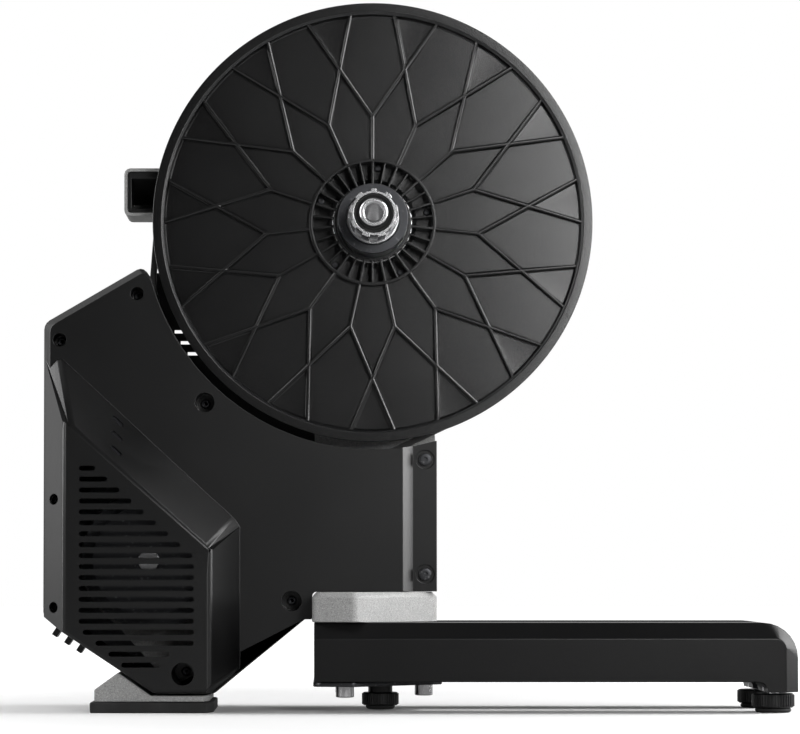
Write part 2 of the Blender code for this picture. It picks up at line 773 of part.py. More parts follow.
REACH_BACK_X = CASING_BACK_X
REACH_NEAR_Y = -DROPOUT_SPACING / 2
BOX_CENTRE_X = (REACH_BACK_X + LEG_FRONT_X) / 2
BOX_CENTRE_Y = (REACH_NEAR_Y + HANDLE_FAR_Y) / 2

ROOT = make_empty("bike_trainer_origin", (0.0, 0.0, 0.0))
ROOT.location = (-BOX_CENTRE_X, -BOX_CENTRE_Y, 0.0)
HUB_AXIS = (0.0, AXLE_HEIGHT)
FLYWHEEL_AXIS = (FLYWHEEL_X, FLYWHEEL_Z)
IDLER_AXIS = (IDLER_X, IDLER_Z)
PULLEY_JOINT = make_empty("pulley_axis", (0.0, 0.0, AXLE_HEIGHT), ROOT)
FREEHUB_JOINT = make_empty("freehub_axis", (0.0, FREEHUB_END_Y, AXLE_HEIGHT), PULLEY_JOINT)
FLYWHEEL_JOINT = make_empty("flywheel_axis", (FLYWHEEL_X, 0.0, FLYWHEEL_Z), ROOT)
IDLER_JOINT = make_empty("idler_axis", (IDLER_X, 0.0, IDLER_Z), ROOT)


# Hub: fixed axle, rotating shell, freehub

CAP_Y = DROPOUT_SPACING / 2


def build_axle():
    near_end = CAP_Y - END_CAP_SEAT
    nut_low = FRAME_BOSS_FAR_Y + GAP
    nut_high = nut_low + AXLE_NUT_THICKNESS
    left_step = nut_high + GAP
    left_end = left_step + LEFT_CAP_SLEEVE
    axle = tube(
        "fixed_axle", AXLE_TUBE_RADIUS, THRU_AXLE_BORE_RADIUS, -near_end, left_end, HUB_AXIS
    )
    finish(axle, "bright_steel", ROOT)
    mouth = CAP_Y - (END_CAP_MOUTH_RADIUS - THRU_AXLE_BORE_RADIUS)
    sleeve = AXLE_TUBE_RADIUS + GAP
    caps = (
        ("drive_end_cap", -1, near_end + GAP, CAP_Y - END_CAP_LENGTH),
        ("left_end_cap", 1, left_end + GAP, left_step),
    )
    for name, side, seat, step in caps:
        outline = [
            (END_CAP_MOUTH_RADIUS, CAP_Y),
            (END_CAP_RADIUS, CAP_Y),
            (END_CAP_RADIUS, step),
            (sleeve, step),
            (sleeve, seat),
            (THRU_AXLE_BORE_RADIUS, seat),
            (THRU_AXLE_BORE_RADIUS, mouth),
        ]
        if side < 0:
            outline = [(radius, -along) for radius, along in reversed(outline)]
        cap = turned(name, outline, HUB_AXIS, steps=MIDDLE_STEPS)
        finish(cap, "bright_steel", ROOT)
    nut = rod("axle_nut", AXLE_NUT_RADIUS, nut_low, nut_high, HUB_AXIS, steps=6)
    bore = rod(
        "axle_nut_bore", AXLE_TUBE_RADIUS + GAP, nut_low - GAP, nut_high + GAP, HUB_AXIS
    )
    finish(cut(nut, bore), "dark_steel", ROOT)


HUB_BACK_Y = PULLEY_BACK_Y
HUB_BEARING_PLACES = (HUB_BACK_Y - BEARING_WIDTH - HUB_BEARING_INSET, HUB_BEARING_NEAR_Y)


def build_hub_bearings():
    for name, low in zip(("hub_bearing_far", "hub_bearing_near"), HUB_BEARING_PLACES):
        ring = tube(
            name, BEARING_RADIUS, AXLE_TUBE_RADIUS + GAP, low, low + BEARING_WIDTH, HUB_AXIS,
            steps=MIDDLE_STEPS,
        )
        finish(ring, "bright_steel", ROOT)
    inner = AXLE_TUBE_RADIUS + GAP
    outer = FREEHUB_BORE_RADIUS - GAP
    low = FREEHUB_END_Y + END_CAP_LENGTH
    bearing = tube(
        "freehub_bearing", outer, inner, low, low + BEARING_WIDTH, HUB_AXIS, steps=MIDDLE_STEPS
    )
    finish(bearing, "bright_steel", ROOT)


def build_hub_shell():
    """Shell with a socket for the freehub's tail, two bearing seats and a flange."""
    front = HUB_FRONT_Y + HUB_RING_THICKNESS + GAP
    socket = HUB_RING_INNER_RADIUS
    seat = BEARING_RADIUS + GAP
    waist = AXLE_TUBE_RADIUS + RUNNING_GAP
    near_seat_end = HUB_BEARING_PLACES[1] + BEARING_WIDTH + GAP
    far_seat = HUB_BEARING_PLACES[0] - GAP
    flange_back = PULLEY_POCKET_BACK_Y + GAP + HUB_FLANGE_THICKNESS
    profile = [
        (seat, HUB_BACK_Y),
        (HUB_SHELL_RADIUS, HUB_BACK_Y),
        (HUB_SHELL_RADIUS, flange_back),
        (HUB_FLANGE_RADIUS, flange_back),
        (HUB_FLANGE_RADIUS, PULLEY_POCKET_BACK_Y + GAP),
        (HUB_SHELL_RADIUS, PULLEY_POCKET_BACK_Y + GAP),
        (HUB_SHELL_RADIUS, front),
        (socket, front),
        (socket, FREEHUB_TAIL_Y + GAP * 2),
        (seat, FREEHUB_TAIL_Y + GAP * 2),
        (seat, near_seat_end),
        (waist, near_seat_end),
        (waist, far_seat),
        (seat, far_seat),
    ]
    shell = turned("hub_shell", profile, HUB_AXIS, steps=MIDDLE_STEPS)
    finish(shell, "bare_aluminium", PULLEY_JOINT)
    ring = tube(
        "hub_ring", HUB_RING_OUTER_RADIUS, HUB_RING_INNER_RADIUS,
        HUB_FRONT_Y, HUB_FRONT_Y + HUB_RING_THICKNESS, HUB_AXIS,
    )
    finish(ring, "dark_steel", PULLEY_JOINT)


def spline_outline():
    """The freehub's section: crests and roots in turn, one crest narrower than the rest."""
    outline = []
    pitch = 2 * math.pi / FREEHUB_SPLINES
    for index in range(FREEHUB_SPLINES):
        middle = math.pi / 2 + index * pitch
        half_crest = pitch * (FREEHUB_NARROW_CREST_SHARE if index == 0 else FREEHUB_CREST_SHARE)
        crest_end = middle + half_crest
        outline += arc(HUB_AXIS, FREEHUB_CREST_RADIUS, middle - half_crest, crest_end, 2)
        next_is_narrow = index == FREEHUB_SPLINES - 1
        next_share = FREEHUB_NARROW_CREST_SHARE if next_is_narrow else FREEHUB_CREST_SHARE
        root_end = middle + pitch * (1 - next_share)
        outline += arc(HUB_AXIS, FREEHUB_ROOT_RADIUS, crest_end, root_end, 2)
    return outline


def build_freehub():
    body = slab("freehub_body", [spline_outline()], FREEHUB_END_Y, FREEHUB_ROOT_Y)
    tail = rod(
        "freehub_tail", HUB_RING_INNER_RADIUS - GAP * 2, FREEHUB_ROOT_Y - JOIN_OVERLAP,
        FREEHUB_TAIL_Y, HUB_AXIS, steps=ROUND_STEPS,
    )
    bore = rod(
        "freehub_bore", FREEHUB_BORE_RADIUS, FREEHUB_END_Y - CUT_OVERRUN,
        FREEHUB_TAIL_Y + CUT_OVERRUN, HUB_AXIS, steps=MIDDLE_STEPS,
    )
    finish(cut(fuse(body, tail), bore), "bright_steel", FREEHUB_JOINT)
    seal = tube(
        "freehub_seal", FREEHUB_BORE_RADIUS - GAP, END_CAP_RADIUS + GAP,
        FREEHUB_END_Y + GAP * 2, FREEHUB_END_Y + FREEHUB_SEAL_DEPTH, HUB_AXIS,
    )
    finish(seal, "black_rubber", FREEHUB_JOINT)


# Driven pulley


def pulley_profile():
    """The pulley's section, from the back lip's bore round the rim to the sleeve and back."""
    sleeve_inner = HUB_RING_OUTER_RADIUS + GAP
    sleeve_outer = sleeve_inner + PULLEY_SLEEVE_WALL
    ring_inner = PULLEY_RING_RADIUS - PULLEY_RING_WALL
    lip_y = PULLEY_FRONT_Y + PULLEY_LIP_THICKNESS
    back_lip_y = PULLEY_BACK_Y - PULLEY_BACK_LIP_THICKNESS
    floor_back = PULLEY_FLOOR_Y + PULLEY_FLOOR_THICKNESS
    pocket_floor = PULLEY_POCKET_BACK_Y - PULLEY_FLOOR_THICKNESS
    ring_front = RIB_FRONT_Y - RING_STEP
    return [
        (PULLEY_RIM_WALL_INNER_RADIUS, PULLEY_BACK_Y),
        (PULLEY_BACK_LIP_RADIUS, PULLEY_BACK_Y),
        (PULLEY_BACK_LIP_RADIUS, back_lip_y),
        (PULLEY_GROOVE_RADIUS, back_lip_y),
        (PULLEY_GROOVE_RADIUS, lip_y),
        (PULLEY_RADIUS, lip_y),
        (PULLEY_RADIUS, PULLEY_FRONT_Y),
        (PULLEY_RIM_INNER_RADIUS, PULLEY_FRONT_Y),
        (PULLEY_RIM_WALL_INNER_RADIUS, ring_front),
        (PULLEY_RIM_WALL_INNER_RADIUS, PULLEY_FLOOR_Y),
        (PULLEY_RING_RADIUS, PULLEY_FLOOR_Y),
        (PULLEY_RING_RADIUS, ring_front),
        (ring_inner, ring_front),
        (ring_inner, pocket_floor),
        (sleeve_outer, pocket_floor),
        (sleeve_outer, ring_front),
        (sleeve_inner, ring_front),
        (sleeve_inner, PULLEY_POCKET_BACK_Y),
        (PULLEY_RING_RADIUS, PULLEY_POCKET_BACK_Y),
        (PULLEY_RING_RADIUS, floor_back),
        (PULLEY_RIM_WALL_INNER_RADIUS, floor_back),
    ]


def polar(radius, angle):
    return (radius * math.cos(angle), radius * math.sin(angle))


def crossing(first, second):
    """Where two lines meet, each given as a point and a heading."""
    (ax, az), (bx, bz) = first
    (cx, cz), (dx, dz) = second
    along = ((cx - ax) * dz - (cz - az) * dx) / (bx * dz - bz * dx)
    return (ax + bx * along, az + bz * along)


def line(start, end, side=0.0):
    """A line through two points, moved to its left by a distance."""
    run = Vector(end) - Vector(start)
    run.normalize()
    left = Vector((-run.y, run.x)) * side
    return ((start[0] + left.x, start[1] + left.y), (run.x, run.y))


def on_circle(edge, radius):
    """Where a line leaves a circle about the axle."""
    (x, z), (dx, dz) = edge
    lean = x * dx + z * dz
    along = -lean + math.sqrt(lean**2 - (x**2 + z**2 - radius**2))
    return (x + dx * along, z + dz * along)


def arc_between(start, end, steps):
    """Points on a circle about the axle from one point to another, the short way."""
    radius = math.hypot(*start)
    first = math.atan2(start[1], start[0])
    turn = (math.atan2(end[1], end[0]) - first + math.pi) % (2 * math.pi) - math.pi
    return [polar(radius, first + turn * step / steps) for step in range(steps + 1)]


def outer_lattice_cells():
    """The openings of one spoke's share of the lattice, with the spoke along +x.

    A spoke ends at a node, where it forks into two branches that cross its neighbours'.
    """
    half = RIB_WIDTH / 2
    pitch = 2 * math.pi / RIB_COUNT
    node = polar(RIB_NODE_RADIUS, 0.0)
    next_node = polar(RIB_NODE_RADIUS, pitch)
    last_node = polar(RIB_NODE_RADIUS, -pitch)
    tip = PULLEY_RIM_WALL_INNER_RADIUS
    spoke = ((0.0, 0.0), polar(RIB_NODE_RADIUS, 0.0))
    next_spoke = ((0.0, 0.0), polar(RIB_NODE_RADIUS, pitch))
    rising = (node, polar(tip, RIB_BRANCH_ANGLE))
    falling = (node, polar(tip, -RIB_BRANCH_ANGLE))
    next_falling = (next_node, polar(tip, pitch - RIB_BRANCH_ANGLE))
    last_rising = (last_node, polar(tip, -pitch + RIB_BRANCH_ANGLE))
    inner = PULLEY_RING_RADIUS - PULLEY_RING_WALL / 2
    outer = PULLEY_RIM_WALL_INNER_RADIUS + PULLEY_LATTICE_SINK / 2
    low_start = on_circle(line(*spoke, half), inner)
    low_end = on_circle(line(*next_spoke, -half), inner)
    wide = arc_between(low_end, low_start, 2) + [
        crossing(line(*spoke, half), line(*rising, half)),
        crossing(line(*rising, half), line(*next_falling, -half)),
        crossing(line(*next_falling, -half), line(*next_spoke, -half)),
    ]
    kite_start = on_circle(line(*last_rising, half), outer)
    kite_end = on_circle(line(*next_falling, -half), outer)
    kite = arc_between(kite_start, kite_end, 1) + [
        crossing(line(*next_falling, -half), line(*rising, -half)),
        crossing(line(*rising, -half), line(*falling, half)),
        crossing(line(*falling, half), line(*last_rising, half)),
    ]
    notch_start = on_circle(line(*next_falling, half), outer)
    notch_end = on_circle(line(*rising, -half), outer)
    notch = arc_between(notch_start, notch_end, 1)
    notch.append(crossing(line(*rising, -half), line(*next_falling, half)))
    return [wide, kite, notch]


def inner_lattice_cell():
    """The opening between two of the short ribs near the hub, with one rib along +x."""
    half = RIB_WIDTH / 2
    pitch = math.pi / RIB_COUNT
    first = ((0.0, 0.0), polar(1.0, 0.0))
    second = ((0.0, 0.0), polar(1.0, pitch))
    inner = HUB_RING_OUTER_RADIUS + GAP + PULLEY_SLEEVE_WALL / 2
    outer = PULLEY_RING_RADIUS - PULLEY_RING_WALL / 2
    cell = arc_between(on_circle(line(*first, half), outer), on_circle(line(*second, -half), outer), 1)
    return cell + arc_between(
        on_circle(line(*second, -half), inner), on_circle(line(*first, half), inner), 1
    )


def turned_round(outline, angle):
    cosine = math.cos(angle)
    sine = math.sin(angle)
    return [(x * cosine - z * sine, AXLE_HEIGHT + x * sine + z * cosine) for x, z in outline]


def circle(radius, steps):
    return arc(HUB_AXIS, radius, 0.0, 2 * math.pi, steps)[:-1]


def build_pulley():
    pulley = turned("driven_pulley", pulley_profile(), HUB_AXIS, steps=RIB_COUNT * 4)
    pitch = 2 * math.pi / RIB_COUNT
    outlines = [circle(PULLEY_RIM_WALL_INNER_RADIUS + PULLEY_LATTICE_SINK, RIB_COUNT * 4)]
    outlines.append(circle(PULLEY_RING_RADIUS - PULLEY_RING_WALL * LATTICE_BITE, RIB_COUNT * 2))
    for index in range(RIB_COUNT):
        turn = math.pi / 2 + index * pitch
        outlines += [turned_round(cell, turn) for cell in outer_lattice_cells()]
    lattice = slab("pulley_lattice", outlines, RIB_FRONT_Y, PULLEY_FLOOR_Y + JOIN_OVERLAP)
    shallow = 1 - LATTICE_BITE
    outlines = [circle(PULLEY_RING_RADIUS - PULLEY_RING_WALL * shallow, RIB_COUNT * 4)]
    sleeve = HUB_RING_OUTER_RADIUS + GAP + PULLEY_SLEEVE_WALL * shallow
    outlines.append(circle(sleeve, RIB_COUNT * 2))
    for index in range(RIB_COUNT * 2):
        outlines.append(turned_round(inner_lattice_cell(), math.pi / 2 + index * pitch / 2))
    pocket = PULLEY_POCKET_BACK_Y - PULLEY_FLOOR_THICKNESS + JOIN_OVERLAP
    hub_lattice = slab("pulley_hub_lattice", outlines, RIB_FRONT_Y, pocket)
    fuse(pulley, lattice, hub_lattice)
    finish(pulley, "pulley_moulding", PULLEY_JOINT)


# Belt drive


def belt_path():
    """Middle line of the belt round the pulley, the shaft pulley and over the idler's back."""
    half = BELT_THICKNESS / 2 + GAP
    wheels = (
        (complex(0.0, AXLE_HEIGHT), PULLEY_GROOVE_RADIUS + half),
        (complex(FLYWHEEL_X, FLYWHEEL_Z), SHAFT_PULLEY_RADIUS + half),
        (complex(IDLER_X, IDLER_Z), -IDLER_RADIUS - half),
    )
    leaving = []
    arriving = []
    for index, (centre, radius) in enumerate(wheels):
        next_centre, next_radius = wheels[(index + 1) % len(wheels)]
        span = next_centre - centre
        across = next_radius - radius
        run = math.sqrt(abs(span) ** 2 - across**2)
        direction = span / complex(run, across)
        leaving.append(centre - 1j * direction * radius)
        arriving.append(next_centre - 1j * direction * next_radius)
    path = []
    for index, (centre, radius) in enumerate(wheels):
        start = arriving[index - 1] - centre
        end = leaving[index] - centre
        turn = math.atan2((end / start).imag, (end / start).real) % (2 * math.pi)
        if radius < 0:
            turn -= 2 * math.pi
        steps_per_turn = ROUND_STEPS * 2 if index == 0 else MIDDLE_STEPS
        steps = max(3, round(abs(turn) / (2 * math.pi) * steps_per_turn))
        for step in range(steps + 1):
            angle = turn * step / steps
            point = centre + start * complex(math.cos(angle), math.sin(angle))
            path.append((point.real, point.imag))
    return path


BELT_LOW_Y = BELT_CENTRE_Y - BELT_WIDTH / 2
BELT_HIGH_Y = BELT_CENTRE_Y + BELT_WIDTH / 2


def build_belt():
    path = belt_path()
    outside = offset(path, -BELT_THICKNESS / 2)
    inside = offset(path, BELT_THICKNESS / 2)
    belt = slab("drive_belt", [outside, inside], BELT_LOW_Y, BELT_HIGH_Y)
    finish(belt, "black_rubber", ROOT)


def build_shaft_pulley():
    """Small pulley with two flanges that keep the belt on it."""
    low = BELT_LOW_Y - GAP
    high = BELT_HIGH_Y + GAP
    flange = SHAFT_PULLEY_FLANGE_THICKNESS
    bore = SHAFT_RADIUS + GAP
    profile = [
        (bore, high + flange),
        (SHAFT_PULLEY_FLANGE_RADIUS, high + flange),
        (SHAFT_PULLEY_FLANGE_RADIUS, high),
        (SHAFT_PULLEY_RADIUS, high),
        (SHAFT_PULLEY_RADIUS, low),
        (SHAFT_PULLEY_FLANGE_RADIUS, low),
        (SHAFT_PULLEY_FLANGE_RADIUS, low - flange),
        (bore, low - flange),
    ]
    pulley = turned("shaft_pulley", profile, FLYWHEEL_AXIS, steps=MIDDLE_STEPS)
    finish(pulley, "dark_steel", FLYWHEEL_JOINT)


def build_idler():
    idler = tube(
        "idler_pulley", IDLER_RADIUS, IDLER_BORE_RADIUS, BELT_LOW_Y, BELT_HIGH_Y,
        IDLER_AXIS, steps=MIDDLE_STEPS,
    )
    finish(idler, "dark_steel", IDLER_JOINT)
    arm_far = FRAME_NEAR_Y - GAP
    arm_near = arm_far - TENSIONER_THICKNESS
    start = complex(TENSIONER_PIVOT_X, TENSIONER_PIVOT_Z)
    end = complex(IDLER_X, IDLER_Z)
    heading = math.atan2((end - start).imag, (end - start).real)
    half = TENSIONER_WIDTH / 2
    outline = arc((end.real, end.imag), half, heading - math.pi / 2, heading + math.pi / 2, 8)
    outline += arc((start.real, start.imag), half, heading + math.pi / 2, heading + 3 * math.pi / 2, 8)
    hole = arc(IDLER_AXIS, IDLER_AXLE_RADIUS + GAP, 0.0, 2 * math.pi, MIDDLE_STEPS)[:-1]
    arm = slab("tensioner_arm", [outline, hole], arm_near, arm_far)
    finish(arm, "dark_steel", ROOT)
    axle = rod("idler_axle", IDLER_AXLE_RADIUS, BELT_LOW_Y - RUNNING_GAP, arm_far, IDLER_AXIS)
    finish(axle, "bright_steel", ROOT)


# Flywheel and brake

FLYWHEEL_NEAR_Y = FRAME_FAR_Y + RUNNING_GAP
FLYWHEEL_FAR_Y = FLYWHEEL_NEAR_Y + FLYWHEEL_WIDTH
BEARING_INSET = 0.0005


def build_flywheel():
    web = (FLYWHEEL_WIDTH - FLYWHEEL_WEB) / 2
    rim_inner = FLYWHEEL_RADIUS - FLYWHEEL_RIM
    bore = SHAFT_RADIUS + GAP
    profile = [
        (bore, FLYWHEEL_FAR_Y - web),
        (rim_inner, FLYWHEEL_FAR_Y - web),
        (rim_inner, FLYWHEEL_FAR_Y),
        (FLYWHEEL_RADIUS, FLYWHEEL_FAR_Y),
        (FLYWHEEL_RADIUS, FLYWHEEL_NEAR_Y),
        (rim_inner, FLYWHEEL_NEAR_Y),
        (rim_inner, FLYWHEEL_NEAR_Y + web),
        (bore, FLYWHEEL_NEAR_Y + web),
    ]
    finish(turned("flywheel", profile, FLYWHEEL_AXIS), "dark_steel", FLYWHEEL_JOINT)
    shaft = rod(
        "flywheel_shaft", SHAFT_RADIUS, BRAKE_ROTOR_FRONT_Y - 2 * SHAFT_PROUD,
        FLYWHEEL_FAR_Y + SHAFT_PROUD, FLYWHEEL_AXIS,
    )
    finish(shaft, "bright_steel", FLYWHEEL_JOINT)
    nut_low = FLYWHEEL_FAR_Y - web + GAP
    nut_high = nut_low + SHAFT_NUT_THICKNESS
    nut = rod("shaft_nut", SHAFT_NUT_RADIUS, nut_low, nut_high, FLYWHEEL_AXIS, steps=6)
    bore_cutter = rod("shaft_nut_bore", bore, nut_low - GAP, nut_high + GAP, FLYWHEEL_AXIS)
    finish(cut(nut, bore_cutter), "dark_steel", FLYWHEEL_JOINT)
    rotor = tube(
        "brake_rotor", BRAKE_ROTOR_RADIUS, bore, BRAKE_ROTOR_FRONT_Y,
        BRAKE_ROTOR_FRONT_Y + BRAKE_ROTOR_THICKNESS, FLYWHEEL_AXIS,
    )
    finish(rotor, "dark_steel", FLYWHEEL_JOINT)
    seats = (
        ("flywheel_bearing_near", FRAME_NEAR_Y + BEARING_INSET),
        ("flywheel_bearing_far", FRAME_FAR_Y - BEARING_WIDTH - BEARING_INSET),
    )
    for name, low in seats:
        bearing = tube(
            name, FLYWHEEL_BEARING_RADIUS, bore, low, low + BEARING_WIDTH, FLYWHEEL_AXIS,
            steps=MIDDLE_STEPS,
        )
        finish(bearing, "bright_steel", ROOT)


def around(centre, radius, degrees):
    angle = math.radians(degrees)
    return (centre[0] + radius * math.cos(angle), centre[1] + radius * math.sin(angle))


def build_brake():
    """The brake's stator: a ring plate with a wound core for each pole and three posts."""
    yoke_front = BRAKE_YOKE_BACK_Y - BRAKE_YOKE_THICKNESS
    stator = tube(
        "brake_stator", BRAKE_YOKE_RADIUS, YOKE_BORE_RADIUS, yoke_front, BRAKE_YOKE_BACK_Y,
        FLYWHEEL_AXIS, steps=ROUND_STEPS,
    )
    coil_front = BRAKE_ROTOR_FRONT_Y + BRAKE_ROTOR_THICKNESS + RUNNING_GAP / 2
    solids = []
    for index in range(BRAKE_COIL_COUNT):
        degrees = FIRST_COIL_ANGLE + index * 360 / BRAKE_COIL_COUNT
        place = around(FLYWHEEL_AXIS, BRAKE_COIL_CIRCLE, degrees)
        solids.append(rod(
            "coil", BRAKE_COIL_RADIUS, coil_front, yoke_front + JOIN_OVERLAP, place,
            steps=TINY_STEPS,
        ))
    for degrees in STANDOFF_ANGLES:
        place = around(FLYWHEEL_AXIS, STANDOFF_CIRCLE, degrees)
        solids.append(rod(
            "post", STANDOFF_RADIUS, BRAKE_YOKE_BACK_Y - JOIN_OVERLAP, FRAME_NEAR_Y - GAP,
            place, steps=TINY_STEPS,
        ))
    fuse(stator, joined("stator_solids", solids))
    finish(stator, "dark_steel", ROOT)


# Casing outlines


def arc_height(x, radius):
    """Height of the casing's hollow edge under the pulley at a distance from the axle."""
    return AXLE_HEIGHT - math.sqrt(radius**2 - x**2)


FLANGE_SCREW_HEIGHTS = (
    CASING_STEP_Z + FLANGE_SCREW_RISE,
    arc_height(FLANGE_SCREW_X, CASING_ARC_RADIUS) - FLANGE_SCREW_ARC_GAP,
)


def casing_outline(inward=0.0, bevel=0.0):
    """The casing seen from the drive side, anticlockwise, moved inwards by a wall or a bevel.

    The bevel moves the back and top edges only.
    """
    wall_radius = CASING_ARC_RADIUS + inward
    top_on_arc = around(HUB_AXIS, CASING_ARC_RADIUS, math.degrees(CASING_ARC_TOP_ANGLE))
    corners = [
        (CASING_TOP_X, CASING_TOP_Z),
        (CASING_BACK_X, CASING_TOP_BACK_Z),
        (CASING_BACK_X, CASING_SLOPE_TOP_Z),
        (CASING_FLOOR_BACK_X, CASING_FLOOR_Z),
        (CASING_FLOOR_FRONT_X, CASING_FLOOR_Z),
        (CASING_LEDGE_BACK_X, CASING_LEDGE_Z),
        (CASING_STEP_X, CASING_LEDGE_Z),
        (CASING_STEP_X, CASING_STEP_Z),
        (CASING_FRONT_X, CASING_STEP_Z),
    ]
    front_on_arc = (CASING_FRONT_X, arc_height(CASING_FRONT_X, CASING_ARC_RADIUS))
    closed = [top_on_arc] + corners + [front_on_arc]
    distances = [inward + bevel * CASING_SHORT_EDGE_SHARE, inward + bevel, inward + bevel]
    distances += [inward] * (len(closed) - len(distances))
    moved = offset(closed, distances)
    rounded_corners = [
        (x, z, max(0.0, rounding - inward * CASING_INNER_CORNER_SHARE))
        for (x, z), rounding in zip(moved[1:-1], CASING_CORNER_RADII)
    ]
    start_x = CASING_FRONT_X - inward
    start = math.atan2(arc_height(start_x, wall_radius) - AXLE_HEIGHT, start_x)
    (edge_x, edge_z), heading = line(closed[0], closed[1], distances[0])
    end_x, end_z = on_circle(((edge_x, edge_z - AXLE_HEIGHT), heading), wall_radius)
    end = math.atan2(end_z, end_x)
    hollow = arc(HUB_AXIS, wall_radius, start, end, CASING_ARC_STEPS)
    ring = [(hollow[-1][0], hollow[-1][1], 0.0)] + rounded_corners
    ring.append((hollow[0][0], hollow[0][1], 0.0))
    return rounded(ring) + hollow[1:-1]


def pod_outlines(inward=0.0):
    """The bulge at the casing's bevel line and at its face, both moved inwards by a wall."""
    depth = CASING_FACE_Y - POD_FACE_Y
    back_step = (CASING_BEVEL_Y - CASING_FACE_Y) / depth

    def extended(crease, edge):
        return tuple(a + (a - b) * back_step for a, b in zip(crease, edge))

    edge_top = (POD_EDGE_TOP_X, POD_EDGE_TOP_Z)
    edge_low = (POD_EDGE_LOW_X, POD_EDGE_LOW_Z)
    edge_front = (POD_FACE_FRONT_X, POD_EDGE_LOW_Z - POD_FRONT_DROP)
    crease_top = (POD_CREASE_TOP_X, POD_CREASE_TOP_Z)
    crease_low = (POD_CREASE_LOW_X, POD_CREASE_LOW_Z)
    crease_front = (POD_CREASE_FRONT_X, POD_CREASE_FRONT_Z)
    slope = (CASING_FLOOR_Z - CASING_SLOPE_TOP_Z) / (CASING_FLOOR_BACK_X - CASING_BACK_X)
    ledge_slope = (CASING_LEDGE_Z - CASING_FLOOR_Z) / (CASING_LEDGE_BACK_X - CASING_FLOOR_FRONT_X)
    front_x = extended(crease_front, edge_front)[0]
    front_foot = (front_x, CASING_FLOOR_Z + (front_x - CASING_FLOOR_FRONT_X) * ledge_slope)
    base = [
        extended(crease_top, edge_top),
        (CASING_BACK_X, POD_CREASE_TOP_Z),
        (CASING_BACK_X, CASING_SLOPE_TOP_Z),
        (CASING_FLOOR_BACK_X, CASING_FLOOR_Z),
        (CASING_FLOOR_FRONT_X, CASING_FLOOR_Z),
        front_foot,
        extended(crease_front, edge_front),
        extended(crease_low, edge_low),
    ]
    face_slope_z = CASING_SLOPE_TOP_Z + slope * (POD_FACE_BACK_X - CASING_BACK_X) + POD_FACE_INSET
    face_floor_z = CASING_FLOOR_Z + POD_FACE_INSET
    face = [
        edge_top,
        (POD_FACE_BACK_X, POD_EDGE_TOP_Z),
        (POD_FACE_BACK_X, face_slope_z),
        (CASING_FLOOR_BACK_X, face_floor_z),
        (POD_FACE_FRONT_X - POD_FOOT_CORNER_X, face_floor_z),
        (POD_FACE_FRONT_X, face_floor_z + POD_FOOT_CORNER_Z),
        edge_front,
        edge_low,
    ]
    flush_edges = (1, 2, 3, 4)
    setbacks = [inward + POD_SETBACK * (edge in flush_edges) for edge in range(len(base))]
    return offset(base, setbacks), offset(face, inward)


def pod_solid(name, inward, face_y, root_y):
    base, face = pod_outlines(inward)
    buried = offset(base, POD_ROOT_INSET)
    return loft(name, [at_y(buried, root_y), at_y(base, CASING_BEVEL_Y), at_y(face, face_y)])


def slope_edge_x(z, margin):
    """Where the bulge's lower back slope stands at a height, plus a margin."""
    run = (CASING_FLOOR_BACK_X - POD_FACE_BACK_X) / (CASING_SLOPE_TOP_Z - CASING_FLOOR_Z)
    face_top = CASING_SLOPE_TOP_Z - (POD_FACE_BACK_X - CASING_BACK_X) / run
    return POD_FACE_BACK_X + (face_top - z) * run + margin


def vent_outlines():
    """Round-ended slots, each as long as the bulge's edges and the low screw leave room."""
    diagonal_run = (POD_EDGE_LOW_X - POD_EDGE_TOP_X) / (POD_EDGE_TOP_Z - POD_EDGE_LOW_Z)
    screw_x, screw_z = COVER_SCREWS[-1][:2]
    outlines = []
    top_z = POD_EDGE_TOP_Z - VENT_TOP_DROP
    count = 1 + int((top_z - CASING_FLOOR_Z - VENT_FLOOR_MARGIN) / VENT_PITCH)
    for index in range(count):
        z = top_z - index * VENT_PITCH
        left = max(POD_FACE_BACK_X + VENT_BACK_MARGIN, slope_edge_x(z, VENT_SLOPE_MARGIN))
        right = POD_FACE_FRONT_X - VENT_FRONT_MARGIN
        diagonal = POD_EDGE_TOP_X + (POD_EDGE_TOP_Z - z) * diagonal_run - VENT_DIAGONAL_MARGIN
        right = min(right, diagonal)
        rise = abs(z - screw_z)
        if rise < VENT_SCREW_CLEARANCE:
            right = min(right, screw_x - math.sqrt(VENT_SCREW_CLEARANCE**2 - rise**2))
        if right - left > 2 * VENT_HEIGHT:
            outlines.append(obround(((left + right) / 2, z), right - left, VENT_HEIGHT, steps=3))
    return outlines


def light_matrix(index):
    """Place and turn of a status light: x along the slope's crease, z out of the slope."""
    top = Vector((POD_CREASE_TOP_X, CASING_FACE_Y, POD_CREASE_TOP_Z))
    low = Vector((POD_CREASE_LOW_X, CASING_FACE_Y, POD_CREASE_LOW_Z))
    edge = Vector((POD_EDGE_TOP_X, POD_FACE_Y, POD_EDGE_TOP_Z))
    along = (low - top).normalized()
    outward = along.cross(edge - top).normalized()
    if outward.y > 0:
        outward.negate()
    across = outward.cross(along)
    x = POD_CREASE_TOP_X + LIGHT_INSET
    crease_z = top.z + along.z / along.x * (x - top.x)
    edge_fall = (POD_EDGE_TOP_Z - POD_EDGE_LOW_Z) / (POD_EDGE_LOW_X - POD_EDGE_TOP_X)
    edge_z = edge.z - edge_fall * (x - edge.x)
    z = (crease_z + edge_z) / 2 + LIGHT_RISE + (1 - index) * LIGHT_PITCH
    y = top.y - ((x - top.x) * outward.x + (z - top.z) * outward.z) / outward.y
    turn = Matrix((along, across, outward)).transposed().to_4x4()
    return Matrix.Translation((x, y, z)) @ turn


